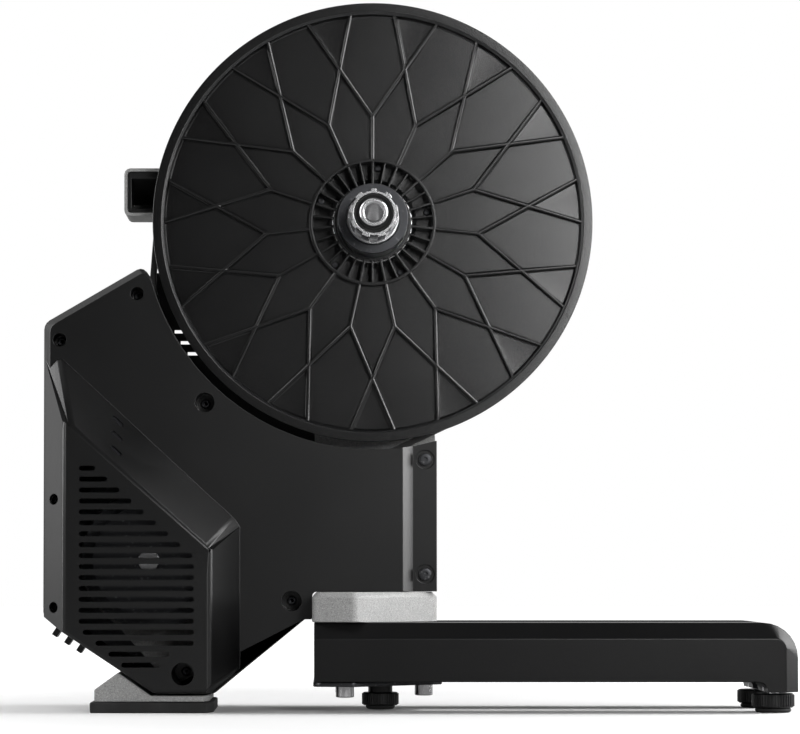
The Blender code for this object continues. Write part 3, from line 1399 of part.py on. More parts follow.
def light_solid(name, index, shrink, low, high):
    outline = obround((0.0, 0.0), LIGHT_LENGTH - 2 * shrink, LIGHT_WIDTH - 2 * shrink, steps=5)
    piece = slab(name, [outline], low, high, axis="Z")
    piece.data.transform(light_matrix(index))
    return piece


def rear_slope():
    """Heading of the casing's rear slope, downwards."""
    fall = Vector((CASING_FLOOR_BACK_X - CASING_BACK_X, CASING_FLOOR_Z - CASING_SLOPE_TOP_Z))
    return fall.normalized()


def comb_tooth(index):
    """One stub square to the rear slope, rooted in the cover's wall."""
    run = rear_slope()
    outward = Vector((run.y, -run.x))
    along = COMB_INSET / run.x + index * COMB_PITCH
    root = Vector((CASING_BACK_X, CASING_SLOPE_TOP_Z)) + run * along
    half = run * COMB_TOOTH_WIDTH / 2
    sunk = outward * CASING_WALL * COMB_BITE
    tip = outward * COMB_TOOTH_LENGTH
    outline = [
        tuple(root - half - sunk),
        tuple(root + half - sunk),
        tuple(root + half + tip),
        tuple(root - half + tip),
    ]
    return slab("comb_tooth", [list(reversed(outline))], COMB_NEAR_Y, COMB_FAR_Y)


# Covers


def open_rim_cutters(prefix):
    """What both covers leave open: the belt's way in, the upright and its foot."""
    way_in = tube(
        prefix + "_belt_way", CASING_ARC_RADIUS + 1.5 * CASING_WALL, PULLEY_GROOVE_RADIUS,
        CASING_BEVEL_Y + CASING_WAY_EDGE, FRAME_FAR_Y + 2 * GAP, HUB_AXIS, steps=FINE_STEPS,
    )
    below = CASING_STEP_Z - 2 * CUT_OVERRUN
    foot = box(
        prefix + "_foot_way",
        (FRAME_FOOT_BACK_X - FIT_GAP, CASING_BEVEL_Y + CASING_WALL + GAP, below),
        (CASING_FRONT_X + CUT_OVERRUN, FRAME_FAR_Y + GAP, CASING_STEP_Z + CASING_WALL + CUT_OVERRUN),
    )
    front = box(
        prefix + "_front_way",
        (FRONT_BOX_BACK_X - CASING_WAY_EDGE, CASING_BEVEL_Y + CASING_WALL, below),
        (CASING_FRONT_X + CUT_OVERRUN, FRAME_FAR_Y + GAP, AXLE_HEIGHT - PULLEY_GROOVE_RADIUS),
    )
    return way_in, foot, front


def rim_web():
    """The left cover's web that closes the hollow edge behind the pulley, with its slots."""
    outer = CASING_ARC_RADIUS + CASING_WALL / 2
    inner = CASING_ARC_RADIUS - RIM_WEB_DEPTH

    def edge(radius):
        start = math.pi + math.asin(CASING_TOP_DROP / radius)
        end = math.pi + math.acos(-RIM_WEB_FRONT_X / radius)
        return arc(HUB_AXIS, radius, start, end, CASING_ARC_STEPS)

    far = RIM_WEB_NEAR_Y + RIM_WEB_THICKNESS
    web = slab("rim_web", [edge(outer) + edge(inner)[::-1]], RIM_WEB_NEAR_Y, far)
    slots = []
    for index in range(RIM_SLOT_COUNT):
        z = CASING_TOP_Z - RIM_SLOT_TOP_FALL - index * RIM_SLOT_PITCH
        edge_radius = CASING_ARC_RADIUS - RIM_SLOT_EDGE
        back_x = -math.sqrt(edge_radius**2 - (AXLE_HEIGHT - z) ** 2)
        slots.append(box(
            "slot", (back_x, RIM_WEB_NEAR_Y - CUT_OVERRUN, z - RIM_SLOT_HEIGHT / 2),
            (back_x + RIM_SLOT_LENGTH, far + CUT_OVERRUN, z + RIM_SLOT_HEIGHT / 2),
        ))
    return cut(web, joined("rim_slots", slots))


def flange_step_cutter(name, face_y, step_y, chamfer_x):
    """Clears the flange strip at the front edge and chamfers the face beside it."""
    beyond = face_y - CUT_OVERRUN * (1 if step_y > face_y else -1)
    slope = (FLANGE_STEP_X - chamfer_x) / (step_y - face_y)
    start_x = FLANGE_STEP_X - (step_y - beyond) * slope
    outline = [
        (start_x, beyond),
        (CASING_FRONT_X + CUT_OVERRUN, beyond),
        (CASING_FRONT_X + CUT_OVERRUN, step_y),
        (FLANGE_STEP_X, step_y),
    ]
    return slab(name, [outline], CASING_STEP_Z - CUT_OVERRUN, AXLE_HEIGHT, axis="Z")


def flange_strip(name, face_y, step_y, chamfer_x):
    """The strip that the front screws hold, with the chamfered wall up to the cover's face."""
    inward = CASING_WALL if step_y > face_y else -CASING_WALL
    buried_x = chamfer_x - STRIP_ROOT
    root_near, root_far = STRIP_ROOT_SHARES
    outline = [
        (buried_x, face_y + inward * root_near),
        (chamfer_x, face_y),
        (FLANGE_STEP_X, step_y),
        (CASING_FRONT_X, step_y),
        (CASING_FRONT_X, step_y + inward),
        (FLANGE_STEP_X - CASING_WALL / 2, step_y + inward),
        (buried_x, face_y + inward * root_far),
    ]
    top = arc_height(CASING_FRONT_X, CASING_ARC_RADIUS) - GAP
    strip = slab(name, [outline], CASING_STEP_Z, top, axis="Z")
    low, high = sorted((face_y - inward, step_y + 2 * inward))
    return cut(strip, rod(name + "_trim", CASING_ARC_RADIUS, low, high, HUB_AXIS, steps=FINE_STEPS))


def screw_post(name, x, z, radius, near, far):
    return rod(name, radius, near, far, (x, z), steps=SMALL_STEPS)


def build_drive_cover():
    outer = casing_outline()
    face = casing_outline(bevel=CASING_BEVEL)
    cover = loft("drive_side_cover", [
        at_y(outer, CASING_SPLIT_Y), at_y(outer, CASING_BEVEL_Y), at_y(face, CASING_FACE_Y),
    ])
    root_y = CASING_BEVEL_Y + POD_ROOT_DEPTH
    fuse(cover, pod_solid("pod_outside", 0.0, POD_FACE_Y, root_y))
    inner = casing_outline(CASING_WALL)
    inner_face = casing_outline(CASING_WALL, CASING_BEVEL)
    hollow = loft("drive_cover_hollow", [
        at_y(inner, CASING_SPLIT_Y + CUT_OVERRUN), at_y(inner, CASING_BEVEL_Y),
        at_y(inner_face, CASING_FACE_Y + CASING_WALL),
    ])
    pod_hollow = pod_solid(
        "pod_inside", CASING_WALL, POD_FACE_Y + CASING_WALL, root_y + CUT_OVERRUN
    )
    step = flange_step_cutter("drive_flange_step", CASING_FACE_Y, FLANGE_Y, FLANGE_CHAMFER_X)
    cut(cover, hollow, pod_hollow, step)
    fuse(cover, flange_strip("drive_flange_strip", CASING_FACE_Y, FLANGE_Y, FLANGE_CHAMFER_X))
    posts = []
    bores = []
    for x, z, radius, mouth in COVER_SCREWS:
        at_bevel = mouth == CASING_BEVEL_Y
        start = mouth + (CASING_WALL if at_bevel else CASING_WALL / 3)
        wall = BEVEL_BOSS_WALL if at_bevel else BOSS_WALL
        posts.append(screw_post("post", x, z, radius + wall, start, CASING_SPLIT_Y))
        bores.append(screw_post("bore", x, z, radius, POD_FACE_Y - CUT_OVERRUN, SCREW_SEAT_Y))
        bores.append(screw_post(
            "pilot", x, z, SCREW_SHANK_RADIUS + GAP, SCREW_SEAT_Y - GAP,
            CASING_SPLIT_Y + CUT_OVERRUN,
        ))
    fuse(cover, joined("drive_cover_posts", posts))
    cut(cover, *open_rim_cutters("drive_cover"))
    for index in (0, 1):
        boolean(cover, joined(f"drive_cover_bores_{index}", bores[index::2]), "DIFFERENCE")
    pod_inside_y = POD_FACE_Y + CASING_WALL
    cut(cover, slab("vent_slots", vent_outlines(), POD_FACE_Y - CUT_OVERRUN, pod_inside_y + CUT_OVERRUN))
    windows = [
        light_solid("window", index, 0.0, -2 * LIGHT_DEPTH, CUT_OVERRUN)
        for index in range(LIGHT_COUNT)
    ]
    cut(cover, joined("light_windows", windows))
    fuse(cover, joined("comb_teeth", [comb_tooth(index) for index in range(COMB_TOOTH_COUNT)]))
    recesses = []
    for z in FLANGE_SCREW_HEIGHTS:
        place = (FLANGE_SCREW_X, z)
        recesses.append(rod(
            "recess", FLANGE_RECESS_RADIUS, FLANGE_Y - CUT_OVERRUN, FLANGE_Y + FLANGE_RECESS_DEPTH,
            place,
        ))
    cut(cover, joined("drive_flange_recesses", recesses))
    hole_end = FLANGE_Y + CASING_WALL + CUT_OVERRUN
    holes = [
        rod("hole", FLANGE_SCREW_RADIUS + GAP, FLANGE_Y, hole_end, (FLANGE_SCREW_X, z))
        for z in FLANGE_SCREW_HEIGHTS
    ]
    cut(cover, joined("drive_flange_holes", holes))
    finish(cover, "black_moulding", ROOT)
    build_light_guide()


def build_light_guide():
    """Clear strip behind the cover's slope with a window standing through each slot."""
    middle = light_matrix(1)
    top = middle.inverted() @ light_matrix(0).translation
    along = Vector((top.x, top.y))
    end = along + along.normalized() * LIGHT_LENGTH / 2
    side = Vector((-along.y, along.x)).normalized() * LIGHT_LENGTH / 2
    outline = [tuple(-end - side), tuple(end - side), tuple(end + side), tuple(-end + side)]
    guide = slab(
        "status_light_guide", [list(reversed(outline))], -LIGHT_DEPTH - LIGHT_GUIDE_THICKNESS,
        -LIGHT_DEPTH, axis="Z",
    )
    guide.data.transform(middle)
    lenses = [
        light_solid("lens", index, GAP, -LIGHT_DEPTH - JOIN_OVERLAP, -LIGHT_SUNK)
        for index in range(LIGHT_COUNT)
    ]
    fuse(guide, joined("light_lenses", lenses))
    finish(guide, "smoked_lens", ROOT)


LEFT_FLANGE_Y = FRAME_FAR_Y + GAP


def build_left_cover():
    outer = casing_outline()
    face = casing_outline(bevel=CASING_LEFT_BEVEL)
    cover = loft("left_side_cover", [
        at_y(outer, CASING_SPLIT_Y + GAP), at_y(outer, CASING_LEFT_BEVEL_Y),
        at_y(face, CASING_LEFT_FACE_Y),
    ])
    inner = casing_outline(CASING_WALL)
    inner_face = casing_outline(CASING_WALL, CASING_LEFT_BEVEL)
    hollow = loft("left_cover_hollow", [
        at_y(inner, CASING_SPLIT_Y - CUT_OVERRUN), at_y(inner, CASING_LEFT_BEVEL_Y),
        at_y(inner_face, CASING_LEFT_FACE_Y - CASING_WALL),
    ])
    step_y = LEFT_FLANGE_Y + CASING_WALL
    step = flange_step_cutter("left_flange_step", CASING_LEFT_FACE_Y, step_y, LEFT_CHAMFER_X)
    cut(cover, hollow, step)
    fuse(cover, flange_strip("left_flange_strip", CASING_LEFT_FACE_Y, step_y, LEFT_CHAMFER_X))
    posts = []
    for index in (0, 1, 4):
        x, z = COVER_SCREWS[index][:2]
        posts.append(screw_post(
            "post", x, z, LEFT_POST_RADIUS, CASING_SPLIT_Y + GAP, CASING_LEFT_FACE_Y - CASING_WALL / 2
        ))
    for index in (2, 3):
        x, z = COVER_SCREWS[index][:2]
        posts.append(box(
            "lug", (CASING_BACK_X + JOIN_OVERLAP, CASING_SPLIT_Y + GAP, z - LEFT_LUG_HALF_HEIGHT),
            (x + LEFT_LUG_REACH, LEFT_LUG_FAR_Y, z + LEFT_LUG_HALF_HEIGHT),
        ))
    fuse(cover, joined("left_cover_posts", posts))
    cut(cover, *open_rim_cutters("left_cover"))
    fuse(cover, rim_web())
    lug_way = box(
        "lug_way", (LUG_BACK_X - FIT_GAP, FRAME_NEAR_Y - FIT_GAP, CASING_FLOOR_Z - CUT_OVERRUN),
        (LUG_FRONT_X + FIT_GAP, FRAME_FAR_Y + FIT_GAP, CASING_FLOOR_Z + CASING_WALL + CUT_OVERRUN),
    )
    cut(cover, lug_way)
    start = LEFT_FLANGE_Y - CUT_OVERRUN
    end = step_y + CUT_OVERRUN
    holes = [
        rod("hole", FLANGE_SCREW_RADIUS + GAP, start, end, (FLANGE_SCREW_X, z))
        for z in FLANGE_SCREW_HEIGHTS
    ]
    cut(cover, joined("left_flange_holes", holes))
    cut(cover, inlet_rod("inlet_hole", INLET_BODY_RADIUS + GAP, -CUT_OVERRUN, 2 * CASING_WALL))
    finish(cover, "black_moulding", ROOT)


def inlet_rod(name, radius, low, high):
    """A cylinder along X; places run forwards from the casing's back face."""
    piece = rod(name, radius, low, high, (0.0, 0.0), axis="Z")
    piece.rotation_euler = (0.0, math.pi / 2, 0.0)
    piece.location = (CASING_BACK_X + (low + high) / 2, INLET_Y, INLET_Z)
    return piece


def build_inlet():
    """Socket held behind the back wall by its flange, its nose flush with the casing."""
    flange_start = CASING_WALL + GAP
    flange = inlet_rod(
        "power_inlet", INLET_FLANGE_RADIUS, flange_start, flange_start + INLET_FLANGE_THICKNESS
    )
    fuse(flange, inlet_rod("inlet_body", INLET_BODY_RADIUS, 0.0, INLET_LENGTH))
    depth = INLET_LENGTH - INLET_END_WALL
    cut(flange, inlet_rod("inlet_bore", INLET_BORE_RADIUS, -CUT_OVERRUN, depth))
    finish(flange, "black_moulding", ROOT)


def build_flange_screws():
    seats = (
        ("drive", FLANGE_Y + FLANGE_RECESS_DEPTH - GAP, 1),
        ("left", LEFT_FLANGE_Y + CASING_WALL + GAP, -1),
    )
    for side, seat, inward in seats:
        for height, z in zip(("low", "high"), FLANGE_SCREW_HEIGHTS):
            place = (FLANGE_SCREW_X, z)
            face = seat - inward * FLANGE_SCREW_HEAD_HEIGHT
            tip = seat + inward * FLANGE_SCREW_LENGTH
            root = seat - inward * GAP
            key_end = face + inward * FLANGE_SOCKET_DEPTH
            key_start = face - inward * CUT_OVERRUN
            name = f"{side}_flange_screw_{height}"
            screw = rod(name, FLANGE_SCREW_HEAD_RADIUS, *sorted((seat, face)), place)
            fuse(screw, rod(
                name + "_shank", FLANGE_SCREW_RADIUS, *sorted((root, tip)), place, steps=TINY_STEPS
            ))
            cut(screw, rod(
                name + "_socket", FLANGE_SOCKET_RADIUS, *sorted((key_start, key_end)), place, steps=6
            ))
            finish(screw, "dark_steel", ROOT)


# Frame casting


def frame_outline():
    """The frame's plate: upright, handle arm, boss, and the arm to the flywheel housing."""
    bottom_z = CASING_STEP_Z
    lug_floor = CASING_FLOOR_Z + GAP
    lug_top = CASING_FLOOR_Z + CASING_WALL + LUG_HEIGHT
    ledge_run = Vector((CASING_LEDGE_BACK_X - CASING_FLOOR_FRONT_X, CASING_LEDGE_Z - CASING_FLOOR_Z))
    ledge_run.normalize()
    clear = Vector((-ledge_run.y, ledge_run.x)) * (CASING_WALL + FRAME_CASTING_GAP)
    low = Vector((CASING_FLOOR_FRONT_X, CASING_FLOOR_Z)) + clear
    top = Vector((CASING_LEDGE_BACK_X, CASING_LEDGE_Z)) + clear
    lug_side = low + ledge_run * ((LUG_FRONT_X - low.x) / ledge_run.x + LUG_FILLET)
    arm_end_x = HANDLE_FRONT_X - HANDLE_WALL / 2
    step_x = CASING_STEP_X - CASING_WALL - FIT_GAP
    step_z = bottom_z + CASING_WALL + LUG_HEIGHT
    shoulder_z = FLANGE_SCREW_HEIGHTS[1] + UPRIGHT_SHOULDER_RISE
    outline = [(CASING_FRONT_X, bottom_z), (CASING_FRONT_X, shoulder_z)]
    outline += arc(HUB_AXIS, FRAME_BOSS_RADIUS + FRAME_BOSS_MARGIN, *FRAME_BOSS_ANGLES, 8)
    outline += [
        (arm_end_x, HANDLE_TOP_Z - ARM_END_INSET),
        (arm_end_x, HANDLE_BOTTOM_Z + ARM_END_INSET),
        (ARM_ROOT_X, AXLE_HEIGHT - ARM_ROOT_DROP),
        (UPRIGHT_BACK_X, AXLE_HEIGHT - ARM_FILLET_DROP),
        (UPRIGHT_BACK_X, BOARD_TOP_Z + HOUSING_FILLET_RISE),
        (HOUSING_SHOULDER_X, BOARD_TOP_Z - HOUSING_SHOULDER_DROP),
    ]
    outline += arc(FLYWHEEL_AXIS, FRAME_HOUSING_RADIUS, *FRAME_HOUSING_ANGLES, 14)
    outline += [
        (LUG_BACK_X, lug_top),
        (LUG_BACK_X, lug_floor),
        (LUG_FRONT_X, lug_floor),
        (LUG_FRONT_X, max(lug_top - FIT_GAP, lug_side.y)),
        tuple(lug_side + ledge_run * LUG_FILLET),
        tuple(top),
        (step_x, top.y + LUG_HEIGHT),
        (step_x, step_z),
        (FRAME_FOOT_BACK_X, step_z),
        (FRAME_FOOT_BACK_X, bottom_z),
    ]
    return outline


def board_posts():
    """Posts on the frame's far face, one under each corner of the circuit board."""
    posts = []
    for x in (BOARD_BACK_X + BOARD_POST_INSET, BOARD_FRONT_X - BOARD_POST_INSET):
        for z in (BOARD_BOTTOM_Z + BOARD_POST_INSET, BOARD_TOP_Z - BOARD_POST_INSET):
            posts.append(rod(
                "post", BOARD_POST_RADIUS, FRAME_FAR_Y - JOIN_OVERLAP, BOARD_NEAR_Y - GAP,
                (x, z), steps=TINY_STEPS,
            ))
    return posts


def build_frame():
    frame = slab("frame_casting", [frame_outline()], FRAME_NEAR_Y, FRAME_FAR_Y)
    front_box = box(
        "front_box",
        (FRONT_BOX_BACK_X, FLANGE_Y + CASING_WALL + GAP, CASING_STEP_Z),
        (CASING_FRONT_X, FRAME_FAR_Y - JOIN_OVERLAP, AXLE_HEIGHT - CASING_ARC_RADIUS - RUNNING_GAP),
    )
    boss_root = FRAME_FAR_Y - FRAME_BOSS_ROOT
    boss = rod("boss", FRAME_BOSS_RADIUS, boss_root, FRAME_BOSS_FAR_Y, HUB_AXIS, steps=ROUND_STEPS)
    handle_outline = rounded([
        (HANDLE_BACK_X, HANDLE_BOTTOM_Z, HANDLE_CORNER),
        (HANDLE_FRONT_X, HANDLE_BOTTOM_Z, HANDLE_CORNER),
        (HANDLE_FRONT_X, HANDLE_TOP_Z, HANDLE_CORNER),
        (HANDLE_BACK_X, HANDLE_TOP_Z, HANDLE_CORNER),
    ])
    handle = slab("handle", [handle_outline], FRAME_NEAR_Y, HANDLE_FAR_Y)
    cut(handle, handle_taper())
    fuse(frame, front_box, boss, handle, joined("board_posts", board_posts()))
    near = FRAME_NEAR_Y - CUT_OVERRUN
    hollow = slab(
        "handle_hollow", [offset(handle_outline, HANDLE_WALL)],
        near, FRAME_NEAR_Y + HANDLE_HOLLOW_DEPTH,
    )
    axle_bore = rod(
        "axle_bore", AXLE_TUBE_RADIUS + GAP, near, FRAME_BOSS_FAR_Y + CUT_OVERRUN, HUB_AXIS,
        steps=MIDDLE_STEPS,
    )
    bearing_bore = rod(
        "bearing_bore", FLYWHEEL_BEARING_RADIUS + GAP, near, FRAME_FAR_Y + CUT_OVERRUN,
        FLYWHEEL_AXIS, steps=MIDDLE_STEPS,
    )
    cut(frame, hollow, axle_bore, bearing_bore)
    holes = []
    for z in FLANGE_SCREW_HEIGHTS:
        place = (FLANGE_SCREW_X, z)
        holes.append(rod(
            "hole", FLANGE_SCREW_RADIUS + GAP, FLANGE_Y,
            FLANGE_Y + FLANGE_SCREW_LENGTH + 3 * CUT_OVERRUN, place,
        ))
        holes.append(rod(
            "hole", FLANGE_SCREW_RADIUS + GAP, LEFT_FLANGE_Y - FLANGE_SCREW_LENGTH,
            LEFT_FLANGE_Y + CUT_OVERRUN, place,
        ))
    cut(frame, joined("frame_screw_holes", holes))
    upright_holes = [rod(
        "hole", BOLT_RADIUS + GAP, CASING_STEP_Z - CUT_OVERRUN,
        CASING_STEP_Z + NOSE_BOLT_REACH + FIT_GAP, (NOSE_BOLT_X, 0.0), axis="Z",
    )]
    for x in rear_bolt_places():
        upright_holes.append(rod(
            "hole", REAR_BOLT_RADIUS + GAP, CASING_FLOOR_Z - CUT_OVERRUN, REAR_BOLT_TOP_Z + FIT_GAP,
            (x, (FRAME_NEAR_Y + FRAME_FAR_Y) / 2), axis="Z", steps=TINY_STEPS,
        ))
    cut(frame, joined("frame_bolt_holes", upright_holes))
    finish(frame, "grey_casting", ROOT)
    build_handle_plug(handle_outline)


def handle_taper():
    """What the handle's far half loses below, where the casting draws in."""
    start = FRAME_NEAR_Y + HANDLE_TAPER_START
    low = HANDLE_BOTTOM_Z - CUT_OVERRUN
    far = HANDLE_FAR_Y + CUT_OVERRUN
    sides = (HANDLE_BACK_X - CUT_OVERRUN, HANDLE_FRONT_X + CUT_OVERRUN)
    return loft("handle_taper", [
        [(x, start, low), (x, far, low), (x, far, HANDLE_BOTTOM_Z + HANDLE_TAPER_RISE)]
        for x in sides
    ])


def build_handle_plug(handle_outline):
    """Dark plug in the handle's hollow end, scooped with a falling ceiling."""
    outline = offset(handle_outline, HANDLE_WALL + GAP)
    plug_end = FRAME_NEAR_Y + HANDLE_HOLLOW_DEPTH - GAP
    plug = slab("handle_plug", [outline], FRAME_NEAR_Y + GAP, plug_end)
    inset = HANDLE_WALL + PLUG_RIM
    low_z = HANDLE_BOTTOM_Z + inset
    high_z = HANDLE_TOP_Z - inset
    left = HANDLE_BACK_X + inset
    right = HANDLE_FRONT_X - inset
    mouth = FRAME_NEAR_Y - CUT_OVERRUN
    end = FRAME_NEAR_Y + PLUG_DEPTH
    near = [(left, mouth, low_z), (right, mouth, low_z), (right, mouth, high_z), (left, mouth, high_z)]
    drop = high_z - PLUG_CEILING_DROP
    far = [(left, end, low_z), (right, end, low_z), (right, end, drop), (left, end, drop)]
    finish(cut(plug, loft("plug_scoop", [near, far])), "black_moulding", ROOT)


# Base, clamp plate and bolts


def base_plan(back_x, back_y, corner_x, corner_y, nose_x, nose_y, radius):
    """A six-cornered plan, mirrored about the centre plane."""
    return rounded([
        (back_x, -back_y, radius),
        (corner_x, -corner_y, radius),
        (nose_x, -nose_y, radius * BASE_NOSE_CORNER_SHARE),
        (nose_x, nose_y, radius * BASE_NOSE_CORNER_SHARE),
        (corner_x, corner_y, radius),
        (back_x, back_y, radius),
    ], steps=4)


BASE_TOP_Z = CASING_STEP_Z - GAP
PLATE_TOP_Z = LEG_BOTTOM_Z - GAP
PLATE_BOTTOM_Z = PLATE_TOP_Z - PLATE_THICKNESS
BOLT_PLACES = ((LEG_PIVOT_X, -LEG_PIVOT_Y), (LEG_PIVOT_X, LEG_PIVOT_Y), (NOSE_BOLT_X, 0.0))


def build_base():
    plan = base_plan(
        BASE_BACK_X, BASE_BACK_Y, BASE_CORNER_X, BASE_CORNER_Y, BASE_NOSE_X, BASE_NOSE_Y,
        BASE_CORNER_RADIUS,
    )
    crown = offset(plan, BASE_BEVEL)
    base = loft("base_casting", [
        at_z(plan, BASE_BOTTOM_Z), at_z(plan, BASE_TOP_Z - BASE_BEVEL), at_z(crown, BASE_TOP_Z),
    ])
    holes = []
    below = BASE_BOTTOM_Z - CUT_OVERRUN
    for index, place in enumerate(BOLT_PLACES):
        top = BASE_TOP_Z + CUT_OVERRUN if index == 2 else BASE_BOTTOM_Z + BOLT_REACH + FIT_GAP
        holes.append(rod("hole", BOLT_RADIUS + GAP, below, top, place, axis="Z"))
    holes.append(rod(
        "hole", FOOT_STUD_RADIUS + 2 * GAP, below, BASE_BOTTOM_Z + CENTRE_STUD_POCKET,
        (CENTRE_FOOT_X, 0.0), axis="Z",
    ))
    cut(base, joined("base_bolt_holes", holes))
    finish(base, "grey_casting", ROOT)
    plate_plan = base_plan(
        PLATE_BACK_X, BASE_BACK_Y, BASE_CORNER_X, PLATE_CORNER_Y, PLATE_NOSE_X, BASE_NOSE_Y,
        BASE_CORNER_RADIUS,
    )
    turn = 2 * math.pi
    openings = [arc(place, BOLT_RADIUS + GAP, 0.0, turn, SMALL_STEPS)[:-1] for place in BOLT_PLACES]
    openings.append(arc((CENTRE_FOOT_X, 0.0), FOOT_STUD_RADIUS + GAP, 0.0, turn, SMALL_STEPS)[:-1])
    plate = slab("leg_clamp_plate", [plate_plan] + openings, PLATE_BOTTOM_Z, PLATE_TOP_Z, axis="Z")
    finish(plate, "dark_steel", ROOT)
    names = ("right_leg_bolt", "left_leg_bolt", "front_clamp_bolt")
    for index, (name, place) in enumerate(zip(names, BOLT_PLACES)):
        seat = PLATE_BOTTOM_Z - GAP
        low = seat - BOLT_HEAD_HEIGHT
        top = BASE_BOTTOM_Z + BOLT_REACH if index < 2 else CASING_STEP_Z + NOSE_BOLT_REACH
        bolt = rod(name, BOLT_HEAD_RADIUS, low, seat, place, axis="Z")
        fuse(bolt, rod(name + "_shank", BOLT_RADIUS, seat - GAP, top, place, axis="Z", steps=SMALL_STEPS))
        cut(bolt, rod(
            name + "_socket", BOLT_SOCKET_RADIUS, low - CUT_OVERRUN,
            low + BOLT_SOCKET_DEPTH, place, axis="Z", steps=6,
        ))
        finish(bolt, "bright_steel", ROOT)


# Legs


def leg_outline(face):
    """A leg from the side: its full outline, or its flat face inside the chamfers."""
    top = LEG_TOP_Z - (LEG_CHAMFER if face else 0.0)
    front = LEG_FRONT_X - (LEG_CHAMFER_FRONT if face else 0.0)
    corner = LEG_FACE_CORNER_RADIUS if face else LEG_CORNER_RADIUS
    outline = [(LEG_BACK_X, LEG_BOTTOM_Z)]
    outline += arc(
        (LEG_LIP_X - LEG_LIP_FILLET, LEG_BOTTOM_Z - LEG_LIP_FILLET), LEG_LIP_FILLET,
        math.pi / 2, 0.0, 4,
    )
    outline += [(LEG_LIP_X, LEG_LIP_Z), (front, LEG_LIP_Z)]
    outline += arc((front - corner, top - corner), corner, 0.0, math.pi / 2, 7)
    outline.append((LEG_BACK_X, top))
    return outline


def foot_knob(prefix, place, radius, bottom, top, recess, body):
    """A knob with a bore for its pad's pin below and for its stud above."""
    pin = FOOT_PAD_PIN_RADIUS + GAP
    stud = FOOT_STUD_RADIUS + GAP
    stud_floor = FOOT_STUD_BOTTOM_Z - GAP
    profile = [
        (stud, recess or top),
        (stud, stud_floor),
        (pin, stud_floor),
        (pin, bottom),
        (radius - KNOB_CHAMFER, bottom),
        (radius, bottom + KNOB_CHAMFER),
        (radius, top - KNOB_CHAMFER),
        (radius - KNOB_CHAMFER, top),
    ]
    if recess:
        clearance = CENTRE_BOSS_RADIUS + 2 * GAP
        profile += [(clearance, top), (clearance, recess)]
    knob = turned(prefix + "_knob", list(reversed(profile)), place, axis="Z", steps=MIDDLE_STEPS)
    return finish(knob, "black_moulding", body)


def foot_pad(prefix, place, radius, bottom, top, body):
    pad_top = top - GAP
    profile = [
        (0.0, FOOT_PAD_PIN_TOP_Z),
        (FOOT_PAD_PIN_RADIUS, FOOT_PAD_PIN_TOP_Z),
        (FOOT_PAD_PIN_RADIUS, pad_top),
        (radius, pad_top),
        (radius, (bottom + pad_top) / 2),
        (radius - PAD_CHAMFER, bottom),
        (0.0, bottom),
    ]
    pad = turned(prefix + "_pad", profile, place, axis="Z", steps=MIDDLE_STEPS)
    return finish(pad, "black_rubber", body)


def foot_stud(prefix, place, top, body):
    stud = rod(prefix + "_stud", FOOT_STUD_RADIUS, FOOT_STUD_BOTTOM_Z, top, place, axis="Z")
    return finish(stud, "bright_steel", body)


